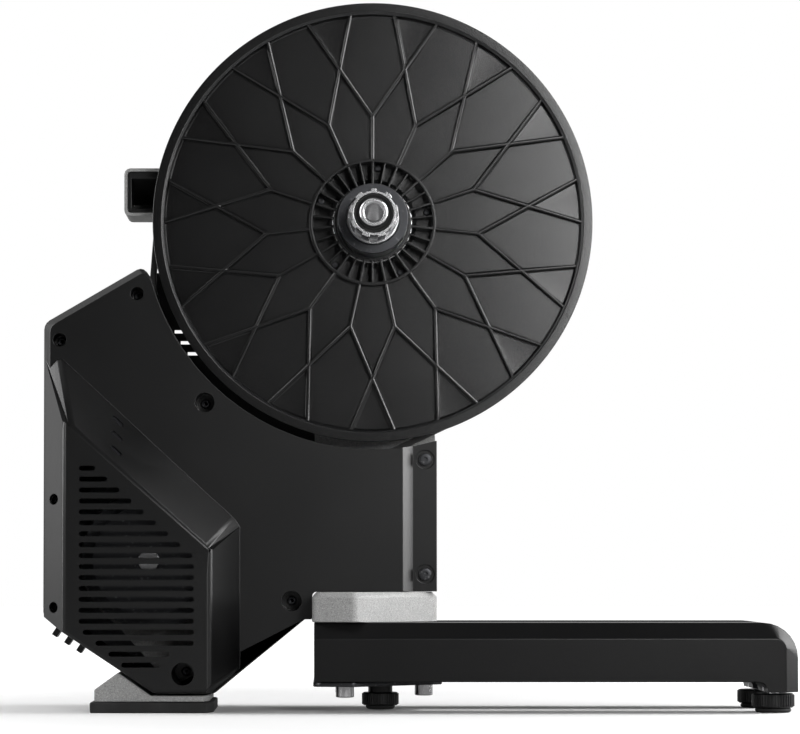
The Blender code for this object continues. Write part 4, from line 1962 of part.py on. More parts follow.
def build_leg(prefix, side):
    """One leg with its bushing and foot; side is -1 for the near leg and 1 for the far one."""
    middle_y = side * LEG_PIVOT_Y
    leg_joint = make_empty(prefix + "_leg_axis", (LEG_PIVOT_X, middle_y, LEG_BOTTOM_Z), ROOT)
    full = leg_outline(face=False)
    face = leg_outline(face=True)
    half = LEG_WIDTH / 2
    leg = loft(prefix + "_leg", [
        at_y(face, middle_y - half), at_y(full, middle_y - half + LEG_CHAMFER_Y),
        at_y(full, middle_y + half - LEG_CHAMFER_Y), at_y(face, middle_y + half),
    ])
    cavity_half = half - LEG_WALL
    shoulder_z = LEG_TOP_Z - LEG_CHAMFER - LEG_WALL
    roof_z = LEG_TOP_Z - LEG_WALL
    roof_half = cavity_half - LEG_CHAMFER_Y
    below = LEG_BOTTOM_Z - CUT_OVERRUN
    section = [
        (middle_y - cavity_half, below),
        (middle_y + cavity_half, below),
        (middle_y + cavity_half, shoulder_z),
        (middle_y + roof_half, roof_z),
        (middle_y - roof_half, roof_z),
        (middle_y - cavity_half, shoulder_z),
    ]
    cavity = loft(prefix + "_leg_cavity", [
        [(LEG_CAVITY_BACK_X, y, z) for y, z in section],
        [(LEG_CAVITY_FRONT_X, y, z) for y, z in section],
    ])
    foot_place = (LEG_FOOT_X, middle_y)
    pivot_place = (LEG_PIVOT_X, middle_y)
    pivot_bore = rod(
        prefix + "_pivot_bore", BUSHING_RADIUS + GAP, below, LEG_TOP_Z + CUT_OVERRUN,
        pivot_place, axis="Z",
    )
    nut_bore = rod(
        prefix + "_nut_bore", FOOT_NUT_RADIUS + GAP, LEG_LIP_Z - CUT_OVERRUN, FOOT_NUT_TOP_Z + GAP,
        foot_place, axis="Z",
    )
    stud_bore = rod(
        prefix + "_stud_bore", FOOT_STUD_RADIUS + 2 * GAP, FOOT_NUT_TOP_Z - JOIN_OVERLAP,
        FOOT_STUD_TOP_Z + CUT_OVERRUN, foot_place, axis="Z",
    )
    cut(leg, cavity, pivot_bore, nut_bore, stud_bore)
    finish(leg, "black_paint", leg_joint)
    bushing = tube(
        prefix + "_leg_bushing", BUSHING_RADIUS, BOLT_RADIUS + GAP, LEG_BOTTOM_Z, LEG_TOP_Z,
        pivot_place, axis="Z", steps=SMALL_STEPS,
    )
    finish(bushing, "bright_steel", leg_joint)
    nut = tube(
        prefix + "_foot_nut", FOOT_NUT_RADIUS, FOOT_STUD_RADIUS + GAP, LEG_LIP_Z + GAP,
        FOOT_NUT_TOP_Z, foot_place, axis="Z", steps=SMALL_STEPS,
    )
    finish(nut, "bright_steel", leg_joint)
    foot_joint = make_empty(prefix + "_foot_axis", (LEG_FOOT_X, middle_y, 0.0), leg_joint)
    foot_knob(
        prefix + "_foot", foot_place, FOOT_KNOB_RADIUS, FOOT_KNOB_BOTTOM_Z, FOOT_KNOB_TOP_Z,
        None, foot_joint,
    )
    foot_pad(prefix + "_foot", foot_place, FOOT_PAD_RADIUS, 0.0, FOOT_KNOB_BOTTOM_Z, foot_joint)
    foot_stud(prefix + "_foot", foot_place, FOOT_STUD_TOP_Z, foot_joint)


def build_centre_foot():
    place = (CENTRE_FOOT_X, 0.0)
    boss = tube(
        "centre_foot_boss", CENTRE_BOSS_RADIUS, FOOT_STUD_RADIUS + GAP, CENTRE_BOSS_BOTTOM_Z,
        PLATE_BOTTOM_Z - GAP, place, axis="Z", steps=MIDDLE_STEPS,
    )
    finish(boss, "black_moulding", ROOT)
    joint = make_empty("centre_foot_axis", (CENTRE_FOOT_X, 0.0, 0.0), ROOT)
    foot_knob(
        "centre_foot", place, CENTRE_KNOB_RADIUS, CENTRE_KNOB_BOTTOM_Z, CENTRE_KNOB_TOP_Z,
        CENTRE_KNOB_RECESS_Z, joint,
    )
    foot_pad(
        "centre_foot", place, CENTRE_PAD_RADIUS, CENTRE_PAD_BOTTOM_Z, CENTRE_KNOB_BOTTOM_Z, joint
    )
    foot_stud("centre_foot", place, CENTRE_STUD_TOP_Z, joint)


# Rear foot


def rear_plan(inset):
    back = REAR_PAD_BACK_X + inset
    near = REAR_PAD_NEAR_Y - inset
    return [
        (back, -near),
        (REAR_PAD_NEAR_FRONT_X - inset, -near),
        (REAR_PAD_FRONT_X - inset, -REAR_PAD_SHOULDER_Y),
        (REAR_PAD_FRONT_X - inset, REAR_PAD_SHOULDER_Y),
        (REAR_PAD_NEAR_FRONT_X - inset, near),
        (back, near),
    ]


def rear_bolt_places():
    return (LUG_BACK_X + REAR_BOLT_INSET, LUG_FRONT_X - REAR_BOLT_INSET)


def build_rear_foot():
    pad = slab("rear_foot_pad", [rear_plan(0.0)], 0.0, REAR_PAD_HEIGHT, axis="Z")
    finish(pad, "black_rubber", ROOT)
    low = REAR_PAD_HEIGHT + GAP
    top = CASING_FLOOR_Z - GAP
    casting = slab("rear_foot_casting", [rear_plan(REAR_CASTING_INSET)], low, top, axis="Z")
    slope = (CASING_FLOOR_Z - CASING_SLOPE_TOP_Z) / (CASING_FLOOR_BACK_X - CASING_BACK_X)
    clear = 2 * GAP * math.sqrt(1 + slope**2)
    back = REAR_PAD_BACK_X + REAR_CASTING_INSET
    near = REAR_PAD_NEAR_Y - REAR_CASTING_INSET
    peak_z = CASING_FLOOR_Z + slope * (REAR_CASTING_PEAK_X - CASING_FLOOR_BACK_X) - clear
    foot_x = CASING_FLOOR_BACK_X - (top - CASING_FLOOR_Z + clear) / -slope
    wedge_low = low + JOIN_OVERLAP
    wedge_top = top - JOIN_OVERLAP / 2
    wedge_outline = [
        (back, wedge_low),
        (foot_x + REAR_CASTING_TOE, wedge_low),
        (foot_x + REAR_CASTING_TOE, wedge_top),
        (foot_x - REAR_CASTING_HEEL, wedge_top),
        (REAR_CASTING_PEAK_X, peak_z),
        (back, REAR_CASTING_STEP_Z),
    ]
    wedge = slab("rear_wedge", [wedge_outline], -near, near)
    fuse(casting, wedge)
    seats = []
    middle_y = (FRAME_NEAR_Y + FRAME_FAR_Y) / 2
    seat = low + REAR_BOLT_HEAD_HEIGHT + GAP
    for name, x in zip(("rear_foot_bolt_back", "rear_foot_bolt_front"), rear_bolt_places()):
        place = (x, middle_y)
        below = low - CUT_OVERRUN
        seats.append(rod("seat", REAR_BOLT_HEAD_RADIUS + GAP, below, seat, place, axis="Z"))
        seats.append(rod(
            "hole", REAR_BOLT_RADIUS + GAP, seat - JOIN_OVERLAP / 2, top + CUT_OVERRUN, place,
            axis="Z", steps=TINY_STEPS,
        ))
        bolt = rod(
            name, REAR_BOLT_HEAD_RADIUS, seat - GAP - REAR_BOLT_HEAD_HEIGHT, seat - GAP, place,
            axis="Z",
        )
        fuse(bolt, rod(
            name + "_shank", REAR_BOLT_RADIUS, seat - 2 * GAP, REAR_BOLT_TOP_Z, place, axis="Z",
            steps=TINY_STEPS,
        ))
        finish(bolt, "bright_steel", ROOT)
    boolean(casting, joined("rear_bolt_seats", seats[0::2]), "DIFFERENCE")
    boolean(casting, joined("rear_bolt_holes", seats[1::2]), "DIFFERENCE")
    finish(casting, "grey_casting", ROOT)


# Electronics


def build_board():
    far_y = BOARD_NEAR_Y + BOARD_THICKNESS
    low = (BOARD_BACK_X, BOARD_NEAR_Y, BOARD_BOTTOM_Z)
    board = box("circuit_board", low, (BOARD_FRONT_X, far_y, BOARD_TOP_Z))
    root = far_y - JOIN_OVERLAP / 2
    width = BOARD_FRONT_X - BOARD_BACK_X
    height = BOARD_TOP_Z - BOARD_BOTTOM_Z
    blocks = []
    for share_x, share_z, half_share_x, half_share_z, tall in BOARD_CHIPS:
        x = BOARD_BACK_X + width * share_x
        z = BOARD_BOTTOM_Z + height * share_z
        half_x = width * half_share_x
        half_z = height * half_share_z
        top = far_y + BOARD_CHIP_HEIGHT * tall
        blocks.append(box("chip", (x - half_x, root, z - half_z), (x + half_x, top, z + half_z)))
    fuse(board, joined("board_chips", blocks))
    finish(board, "board_green", ROOT)


build_axle()
build_hub_bearings()
build_hub_shell()
build_freehub()
build_pulley()
build_belt()
build_shaft_pulley()
build_idler()
build_flywheel()
build_brake()
build_frame()
build_drive_cover()
build_left_cover()
build_flange_screws()
build_inlet()
build_base()
build_leg("right", -1)
build_leg("left", 1)
build_centre_foot()
build_rear_foot()
build_board()
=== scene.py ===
"""Finishes a direct-drive bike trainer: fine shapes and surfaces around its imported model.

Metres, Z up, X forward, the drive side facing -Y. A place written as at(x, y, z) is measured
from the axle, the bike's centre plane and the floor.
"""

import json
import math

import bmesh
import bpy
from mathutils import Matrix, Vector


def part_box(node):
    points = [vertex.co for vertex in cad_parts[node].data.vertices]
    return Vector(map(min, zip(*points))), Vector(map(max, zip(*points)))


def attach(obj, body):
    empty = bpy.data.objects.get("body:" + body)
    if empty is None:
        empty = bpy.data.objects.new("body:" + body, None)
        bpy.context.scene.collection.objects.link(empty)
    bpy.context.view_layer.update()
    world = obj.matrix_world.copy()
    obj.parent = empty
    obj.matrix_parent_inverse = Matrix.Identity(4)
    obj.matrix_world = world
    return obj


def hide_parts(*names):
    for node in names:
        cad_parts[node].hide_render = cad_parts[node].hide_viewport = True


bl_info = {
    "name": "Bike Trainer",
    "version": (1, 0, 0),
    "blender": (4, 5, 0),
    "location": "3D View > Sidebar > Trainer",
    "description": "Builds the fine shapes and surfaces of a direct-drive bike trainer",
    "category": "Add Mesh",
}

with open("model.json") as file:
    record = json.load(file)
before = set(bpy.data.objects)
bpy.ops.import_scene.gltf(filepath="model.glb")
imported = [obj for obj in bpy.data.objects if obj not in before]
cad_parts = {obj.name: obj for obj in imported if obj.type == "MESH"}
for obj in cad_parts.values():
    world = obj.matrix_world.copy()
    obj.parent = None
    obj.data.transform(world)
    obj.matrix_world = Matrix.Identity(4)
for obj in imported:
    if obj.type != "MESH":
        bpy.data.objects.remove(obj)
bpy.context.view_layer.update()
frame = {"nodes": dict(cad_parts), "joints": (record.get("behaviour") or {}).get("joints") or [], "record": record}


def joint_place(name):
    """Where a joint's axis stands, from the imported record."""
    for joint in frame["joints"]:
        if joint["name"] == name:
            return Vector(joint["pos_m"])
    raise RuntimeError(f"the frame has no joint {name}")


AXLE = joint_place("pulley_spin")
X_AXIS = Vector((1, 0, 0))
Y_AXIS = Vector((0, 1, 0))
Z_AXIS = Vector((0, 0, 1))

# Points closer than MERGE become one, and so do faces that meet at less than FLAT_ANGLE
MERGE = 0.00002
FLAT_ANGLE = math.radians(0.5)


def at(x, y, z):
    """A place from the axle, the bike's centre plane and the floor."""
    return Vector((AXLE.x + x, AXLE.y + y, z))


# Settings

LENGTH = {"precision": 4, "unit": "LENGTH"}
COLOUR = {"subtype": "COLOR", "min": 0.0, "max": 1.0}


class TrainerSizes(bpy.types.PropertyGroup):
    """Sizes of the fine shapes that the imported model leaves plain."""

    rib_top: bpy.props.FloatProperty(
        name="Rib top", description="Width of a pulley rib at its front", default=0.0020,
        min=0.001, max=0.004, **LENGTH,
    )
    rib_root: bpy.props.FloatProperty(
        name="Rib root", description="Width of a pulley rib at the floor", default=0.0034,
        min=0.001, max=0.008, **LENGTH,
    )
    rib_count: bpy.props.IntProperty(
        name="Spokes", description="Number of spokes in the pulley's lattice", default=15,
        min=3, max=40,
    )
    rib_rounding: bpy.props.FloatProperty(
        name="Rib bevel", description="Width of the flats along a rib's edges and foot",
        default=0.0006, min=0.0001, max=0.001, **LENGTH,
    )
    shell_rounding: bpy.props.FloatProperty(
        name="Shell rounding", description="Radius along the edges of moulded shells",
        default=0.0006, min=0.0001, max=0.002, **LENGTH,
    )
    casting_rounding: bpy.props.FloatProperty(
        name="Casting rounding", description="Radius along the edges of castings",
        default=0.0010, min=0.0001, max=0.003, **LENGTH,
    )
    grip_ridges: bpy.props.IntProperty(
        name="Grip ridges", description="Ridges round a foot knob", default=44, min=8, max=90,
    )
    round_steps: bpy.props.IntProperty(
        name="Steps", description="Steps round a turned piece", default=96, min=16, max=360,
    )


class TrainerFinishes(bpy.types.PropertyGroup):
    """Colours of the trainer's surfaces."""

    moulding: bpy.props.FloatVectorProperty(
        name="Moulding", description="Black plastic of the covers",
        default=(0.0060, 0.0060, 0.0062), **COLOUR,
    )
    pulley: bpy.props.FloatVectorProperty(
        name="Pulley", description="Black plastic of the ribbed pulley",
        default=(0.0058, 0.0058, 0.0060), **COLOUR,
    )
    paint: bpy.props.FloatVectorProperty(
        name="Paint", description="Satin black paint of the legs",
        default=(0.0042, 0.0042, 0.0044), **COLOUR,
    )
    casting: bpy.props.FloatVectorProperty(
        name="Casting", description="Painted light grey castings",
        default=(0.39, 0.39, 0.386), **COLOUR,
    )
    steel: bpy.props.FloatVectorProperty(
        name="Steel", description="Turned bright steel",
        default=(0.66, 0.66, 0.67), **COLOUR,
    )
    dark_steel: bpy.props.FloatVectorProperty(
        name="Dark steel", description="Blackened steel",
        default=(0.055, 0.056, 0.060), **COLOUR,
    )
    aluminium: bpy.props.FloatVectorProperty(
        name="Aluminium", description="Bare aluminium",
        default=(0.58, 0.59, 0.60), **COLOUR,
    )
    rubber: bpy.props.FloatVectorProperty(
        name="Rubber", description="Black rubber",
        default=(0.018, 0.018, 0.018), **COLOUR,
    )
    lens: bpy.props.FloatVectorProperty(
        name="Lens", description="Smoked plastic of the status lights",
        default=(0.010, 0.010, 0.011), **COLOUR,
    )
    board: bpy.props.FloatVectorProperty(
        name="Board", description="Lacquered circuit board",
        default=(0.015, 0.11, 0.045), **COLOUR,
    )
    ground: bpy.props.FloatVectorProperty(
        name="Ground", description="Pale floor",
        default=(0.90, 0.90, 0.90), **COLOUR,
    )


def sizes():
    return bpy.context.scene.trainer_sizes


def finishes():
    return bpy.context.scene.trainer_finishes


# Materials

# A colour Mix node's sockets by number: its factor, both colours and its result
MIX_INPUTS = (0, 6, 7)
MIX_RESULT = 2


class Shade:
    """A value in a node tree; arithmetic on it adds Math nodes."""

    def __init__(self, nodes, socket):
        self.nodes = nodes
        self.socket = socket

    def _with(self, operation, *values):
        settings = {"operation": operation}
        return self.nodes.node("ShaderNodeMath", settings, dict(enumerate(values)))

    def __add__(self, other):
        return self._with("ADD", self, other)

    __radd__ = __add__

    def __sub__(self, other):
        return self._with("SUBTRACT", self, other)

    def __rsub__(self, other):
        return self._with("SUBTRACT", other, self)

    def __mul__(self, other):
        return self._with("MULTIPLY", self, other)

    __rmul__ = __mul__

    def above(self, edge, blur):
        """0 below an edge and 1 above it, blurred to either side."""
        return self.nodes.node(
            "ShaderNodeMapRange", {"interpolation_type": "SMOOTHSTEP"},
            {"Value": self, "From Min": edge - blur, "From Max": edge + blur},
        )


class NodeTree:
    """The nodes of a material or of the world."""

    def __init__(self, tree):
        self.tree = tree

    def fill(self, socket, value):
        """Links a socket to an earlier result, or sets its own value."""
        if isinstance(value, Shade):
            self.tree.links.new(value.socket, socket)
        else:
            socket.default_value = value

    def node(self, kind, settings, inputs, output=0):
        """Adds a node: first its settings, then values or links for its sockets."""
        node = self.tree.nodes.new(kind)
        for name, value in settings.items():
            setattr(node, name, value)
        for name, value in inputs.items():
            self.fill(node.inputs[name], value)
        return Shade(self, node.outputs[output])


class Paint(NodeTree):
    """One procedural material on the object's own coordinates."""

    def __init__(self, name, colour, roughness, metallic=0.0, **constants):
        self.material = bpy.data.materials.new(name)
        self.material.use_nodes = True
        self.material.diffuse_color = (*colour, 1.0)
        super().__init__(self.material.node_tree)
        self.shader = self.tree.nodes["Principled BSDF"]
        self.colour = colour
        self.set(Roughness=roughness, Metallic=metallic, **constants)
        self.set(**{"Base Color": (*colour, 1.0)})
        self.place = self.node("ShaderNodeTexCoord", {}, {}, "Object")

    def set(self, **values):
        """Sets or links sockets of the surface's own shader."""
        for name, value in values.items():
            self.fill(self.shader.inputs[name], value)

    def stretched(self, scale):
        return self.node("ShaderNodeMapping", {}, {"Vector": self.place, "Scale": scale})

    def noise(self, scale, detail=2.0, roughness=0.5, where=None):
        inputs = {"Vector": where or self.place, "Scale": scale, "Detail": detail}
        return self.node("ShaderNodeTexNoise", {}, {**inputs, "Roughness": roughness})

    def cells(self, scale):
        inputs = {"Vector": self.place, "Scale": scale}
        return self.node("ShaderNodeTexVoronoi", {}, inputs, "Distance")

    def blend(self, factor, first, second):
        """Mixes two colours, each a tuple or an earlier result."""
        values = [factor]
        for colour in (first, second):
            values.append(colour if isinstance(colour, Shade) else (*colour, 1.0))
        inputs = dict(zip(MIX_INPUTS, values))
        return self.node("ShaderNodeMix", {"data_type": "RGBA"}, inputs, MIX_RESULT)

    def bumps(self, height, depth, strength=1.0, over=None):
        inputs = {"Height": height, "Distance": depth, "Strength": strength}
        if over is not None:
            inputs["Normal"] = over
        return self.node("ShaderNodeBump", {}, inputs)


def tone(colour, factor):
    """A colour made lighter or darker."""
    return tuple(min(1.0, channel * factor) for channel in colour)


def moulded_plastic(name, colour, roughness, grain, depth, shine):
    """Moulded plastic with a fine spark grain, faint flow marks and a little dust."""
    paint = Paint(name, colour, roughness, **{"Specular IOR Level": shine})
    flow = paint.noise(14.0, 3.0)
    fine = paint.noise(grain, 3.0, 0.6)
    speck = paint.cells(grain * 0.45).above(0.18, 0.10)
    shade = paint.blend(flow, tone(colour, 0.86), tone(colour, 1.14))
    shade = paint.blend(fine.above(0.62, 0.12) * 0.35, shade, tone(colour, 1.7))
    paint.set(**{"Base Color": shade})
    paint.set(Roughness=roughness - 0.05 + flow * 0.06 + fine * 0.07)
    paint.set(Normal=paint.bumps(fine + speck * 0.25, depth))
    return paint.material


def black_moulding():
    return moulded_plastic(
        "black_moulding_finish", finishes().moulding,
        roughness=0.29, grain=1500.0, depth=0.00003, shine=0.48,
    )


def pulley_moulding():
    return moulded_plastic(
        "pulley_moulding_finish", finishes().pulley,
        roughness=0.20, grain=1100.0, depth=0.00005, shine=0.68,
    )


def satin_paint():
    """Satin black powder paint with a soft orange peel and rubbed high spots."""
    colour = finishes().paint
    paint = Paint("black_paint_finish", colour, 0.31, **{"Specular IOR Level": 0.28})
    peel = paint.noise(420.0, 2.0)
    wide = paint.noise(22.0, 2.0)
    grain = paint.noise(2400.0, 1.0)
    shade = paint.blend(wide, tone(colour, 0.88), tone(colour, 1.15))
    rubbed = grain.above(0.66, 0.08) * 0.4
    paint.set(**{"Base Color": paint.blend(rubbed, shade, tone(colour, 2.2))})
    paint.set(Roughness=0.26 + wide * 0.05 + grain * 0.06)
    fine = paint.bumps(grain, 0.00002)
    paint.set(Normal=paint.bumps(peel, 0.00005, 0.7, over=fine))
    return paint.material


def grey_casting():
    """Light grey textured paint over a casting, with darker and brighter flecks."""
    colour = finishes().casting
    paint = Paint("grey_casting_finish", colour, 0.55, 0.10)
    sand = paint.noise(1300.0, 3.0, 0.65)
    fleck = paint.cells(1500.0)
    wide = paint.noise(30.0, 3.0)
    shade = paint.blend(wide, tone(colour, 0.90), tone(colour, 1.08))
    shade = paint.blend(sand.above(0.60, 0.06) * 0.55, shade, tone(colour, 1.75))
    shade = paint.blend((1 - sand.above(0.42, 0.05)) * 0.55, shade, tone(colour, 0.42))
    paint.set(**{"Base Color": shade})
    paint.set(Roughness=0.46 + wide * 0.08 + fleck * 0.12)
    paint.set(Normal=paint.bumps(sand + fleck * 0.4, 0.00012))
    return paint.material


# Fineness of the tool marks, before a metal stretches them
TOOL_MARKS = 900.0


def worked_metal(name, colour, roughness, along):
    """Machined metal with fine tool marks, closest together along a direction."""
    paint = Paint(name, colour, roughness, 1.0)
    scale = tuple(TOOL_MARKS * part for part in along)
    marks = paint.noise(1.0, 2.0, where=paint.stretched(scale))
    stain = paint.noise(60.0, 3.0)
    shade = paint.blend(stain, tone(colour, 0.94), tone(colour, 1.04))
    paint.set(**{"Base Color": paint.blend(marks * 0.2, shade, tone(colour, 0.8))})
    paint.set(Roughness=roughness - 0.03 + marks * 0.06 + stain * 0.03)
    paint.set(Normal=paint.bumps(marks, 0.000001, 0.3))
    return paint.material


def bright_steel():
    return worked_metal("bright_steel_finish", finishes().steel, 0.24, (0.4, 3.0, 0.4))


def bare_aluminium():
    return worked_metal("bare_aluminium_finish", finishes().aluminium, 0.34, (0.5, 2.0, 0.5))


def dark_steel():
    """Blackened steel, slightly worn to bare metal on its high spots."""
    colour = finishes().dark_steel
    paint = Paint("dark_steel_finish", colour, 0.36, 0.85)
    wear = paint.noise(350.0, 4.0, 0.6)
    fine = paint.noise(1800.0, 2.0)
    bare = tone(finishes().steel, 0.45)
    paint.set(**{"Base Color": paint.blend(wear.above(0.66, 0.08) * 0.5, colour, bare)})
    paint.set(Roughness=0.30 + fine * 0.12)
    paint.set(Normal=paint.bumps(fine, 0.00002))
    return paint.material


def black_rubber():
    """Matt rubber with a dusty bloom and a fine moulded grain."""
    colour = finishes().rubber
    paint = Paint("black_rubber_finish", colour, 0.72, **{"Specular IOR Level": 0.35})
    bloom = paint.noise(60.0, 4.0, 0.6)
    fine = paint.noise(1700.0, 2.0)
    dusty = bloom.above(0.5, 0.2) * 0.5
    paint.set(**{"Base Color": paint.blend(dusty, colour, tone(colour, 2.4))})
    paint.set(Roughness=0.64 + bloom * 0.14)
    paint.set(Normal=paint.bumps(fine, 0.00008))
    return paint.material


def smoked_lens():
    """Smoked clear plastic over a dark diffuser with faint moulded ribs."""
    colour = finishes().lens
    paint = Paint("smoked_lens_finish", colour, 0.16, **{"Coat Weight": 0.4, "IOR": 1.49})
    ribs = paint.node(
        "ShaderNodeTexWave", {"bands_direction": "Z"},
        {"Vector": paint.place, "Scale": 260.0, "Distortion": 0.0}, "Fac",
    )
    paint.set(**{"Base Color": paint.blend(ribs * 0.6, colour, tone(colour, 3.5))})
    paint.set(Roughness=0.12 + paint.noise(700.0) * 0.10)
    return paint.material


def board_green():
    """Green lacquered board with paler tracks."""
    colour = finishes().board
    paint = Paint("board_green_finish", colour, 0.35, **{"Coat Weight": 0.3})
    upright = (math.pi / 2, 0.0, 0.0)
    face = paint.node(
        "ShaderNodeMapping", {},
        {"Vector": paint.place, "Rotation": upright, "Scale": (160, 160, 160)},
    )
    tracks = paint.node(
        "ShaderNodeTexBrick", {"offset": 0.37},
        {"Vector": face, "Mortar Size": 0.06, "Scale": 1.0}, "Fac",
    )
    paint.set(**{"Base Color": paint.blend(tracks, colour, tone(colour, 2.4))})
    paint.set(Roughness=0.28 + paint.noise(500.0) * 0.12)
    paint.set(Normal=paint.bumps(tracks, 0.00006))
    return paint.material


MATERIAL_MAKERS = {
    "black_moulding": black_moulding,
    "pulley_moulding": pulley_moulding,
    "black_paint": satin_paint,
    "grey_casting": grey_casting,
    "bright_steel": bright_steel,
    "bare_aluminium": bare_aluminium,
    "dark_steel": dark_steel,
    "black_rubber": black_rubber,
    "smoked_lens": smoked_lens,
    "board_green": board_green,
}
NODE_SLOTS = {part["node"]: part["material_slot"] for part in frame["record"]["subparts"]}


def finish_named(slot):
    """The material of a slot, made once."""
    if slot + "_finish" not in bpy.data.materials:
        MATERIAL_MAKERS[slot]()
    return bpy.data.materials[slot + "_finish"]


# Modelling: angles in degrees, widths and lengths in metres

# A corner is rounded over this share of its shorter side at most
CORNER_SHARE = 0.45
# Faces that meet at more than these angles keep a sharp edge, or get a bevel
SMOOTH_ANGLE = 32.0
SHARP_ANGLE = 30.0
# An edge needs this many bevel widths of length
EDGE_ROOM = 1.3
FACE_WEIGHT = 80

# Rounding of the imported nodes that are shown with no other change
NODE_ROUNDING = {
    "hub_shell": 0.0004,
    "freehub_body": 0.00025,
    "fixed_axle": 0.0003,
    "axle_nut": 0.0004,
    "status_light_guide": 0.0002,
    "power_inlet": 0.0003,
    "frame_casting": 0.0007,
    "handle_plug": 0.0005,
    "leg_clamp_plate": 0.0006,
    "centre_foot_boss": 0.0005,
    "rear_foot_pad": 0.0010,
}
INNER_ROUNDING = 0.0004


def deselect():
    active = bpy.context.view_layer.objects.active
    if active is not None and active.mode != "OBJECT":
        bpy.ops.object.mode_set(mode="OBJECT")
    bpy.ops.object.select_all(action="DESELECT")


def make_active(piece):
    deselect()
    piece.select_set(True)
    bpy.context.view_layer.objects.active = piece


def start_edit(piece):
    """Opens a piece in edit mode with all of it selected."""
    make_active(piece)
    bpy.ops.object.mode_set(mode="EDIT")
    bpy.ops.mesh.select_mode(type="VERT")
    bpy.ops.mesh.select_all(action="SELECT")


def end_edit():
    bpy.ops.object.mode_set(mode="OBJECT")


def settle(piece):
    """Puts a piece's place, turn and size into its mesh."""
    make_active(piece)
    bpy.ops.object.transform_apply(location=True, rotation=True, scale=True)
    return piece


def with_modifier(piece, kind, **settings):
    make_active(piece)
    modifier = piece.modifiers.new(kind.title(), kind)
    for name, value in settings.items():
        setattr(modifier, name, value)
    bpy.ops.object.modifier_apply(modifier=modifier.name)
    return piece


def joined(pieces, name):
    """One object from several."""
    deselect()
    for piece in pieces:
        piece.select_set(True)
    bpy.context.view_layer.objects.active = pieces[0]
    bpy.ops.object.join()
    pieces[0].name = name
    pieces[0].data.name = name
    return pieces[0]


def copied(piece, name, matrix=None):
    """A copy with its own mesh, moved by a matrix."""
    copy = bpy.data.objects.new(name, piece.data.copy())
    bpy.context.scene.collection.objects.link(copy)
    if matrix is not None:
        copy.data.transform(matrix)
    return copy


def turn_about(place, axis, angle):
    """A turn about an axis through a place."""
    turn = Matrix.Rotation(angle, 4, axis)
    return Matrix.Translation(place) @ turn @ Matrix.Translation(-place)


def turned(name, section, centre, axis, steps):
    """Traces a section, as radius and distance along Y or Z, and spins it round.

    A section that starts and ends on the axis is left open there; any other is closed.
    """
    points = [centre + X_AXIS * radius + axis * along for radius, along in section]
    starts, ends = points, points[1:] + points[:1]
    if section[0][0] == 0.0 and section[-1][0] == 0.0:
        starts, ends = points[:-1], points[1:]
    bpy.ops.mesh.primitive_plane_add(size=MERGE * 10, location=points[0])
    piece = bpy.context.object
    piece.name = name
    piece.data.name = name
    start_edit(piece)
    bpy.ops.mesh.merge(type="CENTER")
    for start, end in zip(starts, ends):
        bpy.ops.mesh.extrude_vertices_move(TRANSFORM_OT_translate={"value": end - start})
    bpy.ops.mesh.select_all(action="SELECT")
    bpy.ops.mesh.remove_doubles(threshold=MERGE)
    bpy.ops.mesh.spin(steps=steps, angle=math.tau, center=centre, axis=axis)
    bpy.ops.mesh.select_all(action="SELECT")
    bpy.ops.mesh.remove_doubles(threshold=MERGE)
    bpy.ops.mesh.delete_loose()
    bpy.ops.mesh.select_all(action="SELECT")
    bpy.ops.mesh.normals_make_consistent(inside=False)
    end_edit()
    return settle(piece)


def softened(section, radius, steps=3):
    """A closed section with each corner rounded, as far as its sides leave room."""
    rounded = []
    count = len(section)
    for index, corner in enumerate(section):
        corner = Vector(corner)
        before = Vector(section[index - 1]) - corner
        after = Vector(section[(index + 1) % count]) - corner
        reach = min(radius, before.length * CORNER_SHARE, after.length * CORNER_SHARE)
        first = corner + before.normalized() * reach
        last = corner + after.normalized() * reach
        for step in range(steps + 1):
            share = step / steps
            near = first.lerp(corner, share)
            far = corner.lerp(last, share)
            rounded.append(tuple(near.lerp(far, share)))
    return rounded


def smooth(piece, angle=SMOOTH_ANGLE):
    """Smooth shading that keeps big faces flat."""
    make_active(piece)
    bpy.ops.object.shade_smooth_by_angle(angle=math.radians(angle))
    return with_modifier(piece, "WEIGHTED_NORMAL", keep_sharp=True, weight=FACE_WEIGHT)


def select_edges(piece, width, sharper_than, longer_than, within):
    """Selects the sharp edges with room for a bevel. The piece is in edit mode."""
    bpy.ops.mesh.select_all(action="DESELECT")
    bpy.ops.mesh.select_mode(type="EDGE")
    shape = bmesh.from_edit_mesh(piece.data)
    limit = math.radians(sharper_than)
    room = width * EDGE_ROOM
    crowded = {
        vert for vert in shape.verts
        if min(edge.calc_length() for edge in vert.link_edges) < room
    }
    for edge in shape.edges:
        if len(edge.link_faces) != 2 or edge.calc_face_angle() < limit:
            continue
        if edge.calc_length() < max(longer_than, room) or crowded.intersection(edge.verts):
            continue
        middle = (edge.verts[0].co + edge.verts[1].co) / 2
        if within is None or within(middle):
            edge.select_set(True)
    bmesh.update_edit_mesh(piece.data)


def round_edges(
    piece, width, sharper_than=SHARP_ANGLE, longer_than=0.0, segments=2, within=None
):
    """Bevels a piece's sharp edges, all of them or those whose middles a test lets in."""
    start_edit(piece)
    select_edges(piece, width, sharper_than, longer_than, within)
    bpy.ops.mesh.bevel(offset=width, segments=segments, affect="EDGES", clamp_overlap=False)
    end_edit()
    return piece


def merge_flats():
    """Merges doubled points and flat faces of the piece in edit mode."""
    bpy.ops.mesh.remove_doubles(threshold=MERGE)
    bpy.ops.mesh.dissolve_limited(angle_limit=FLAT_ANGLE)


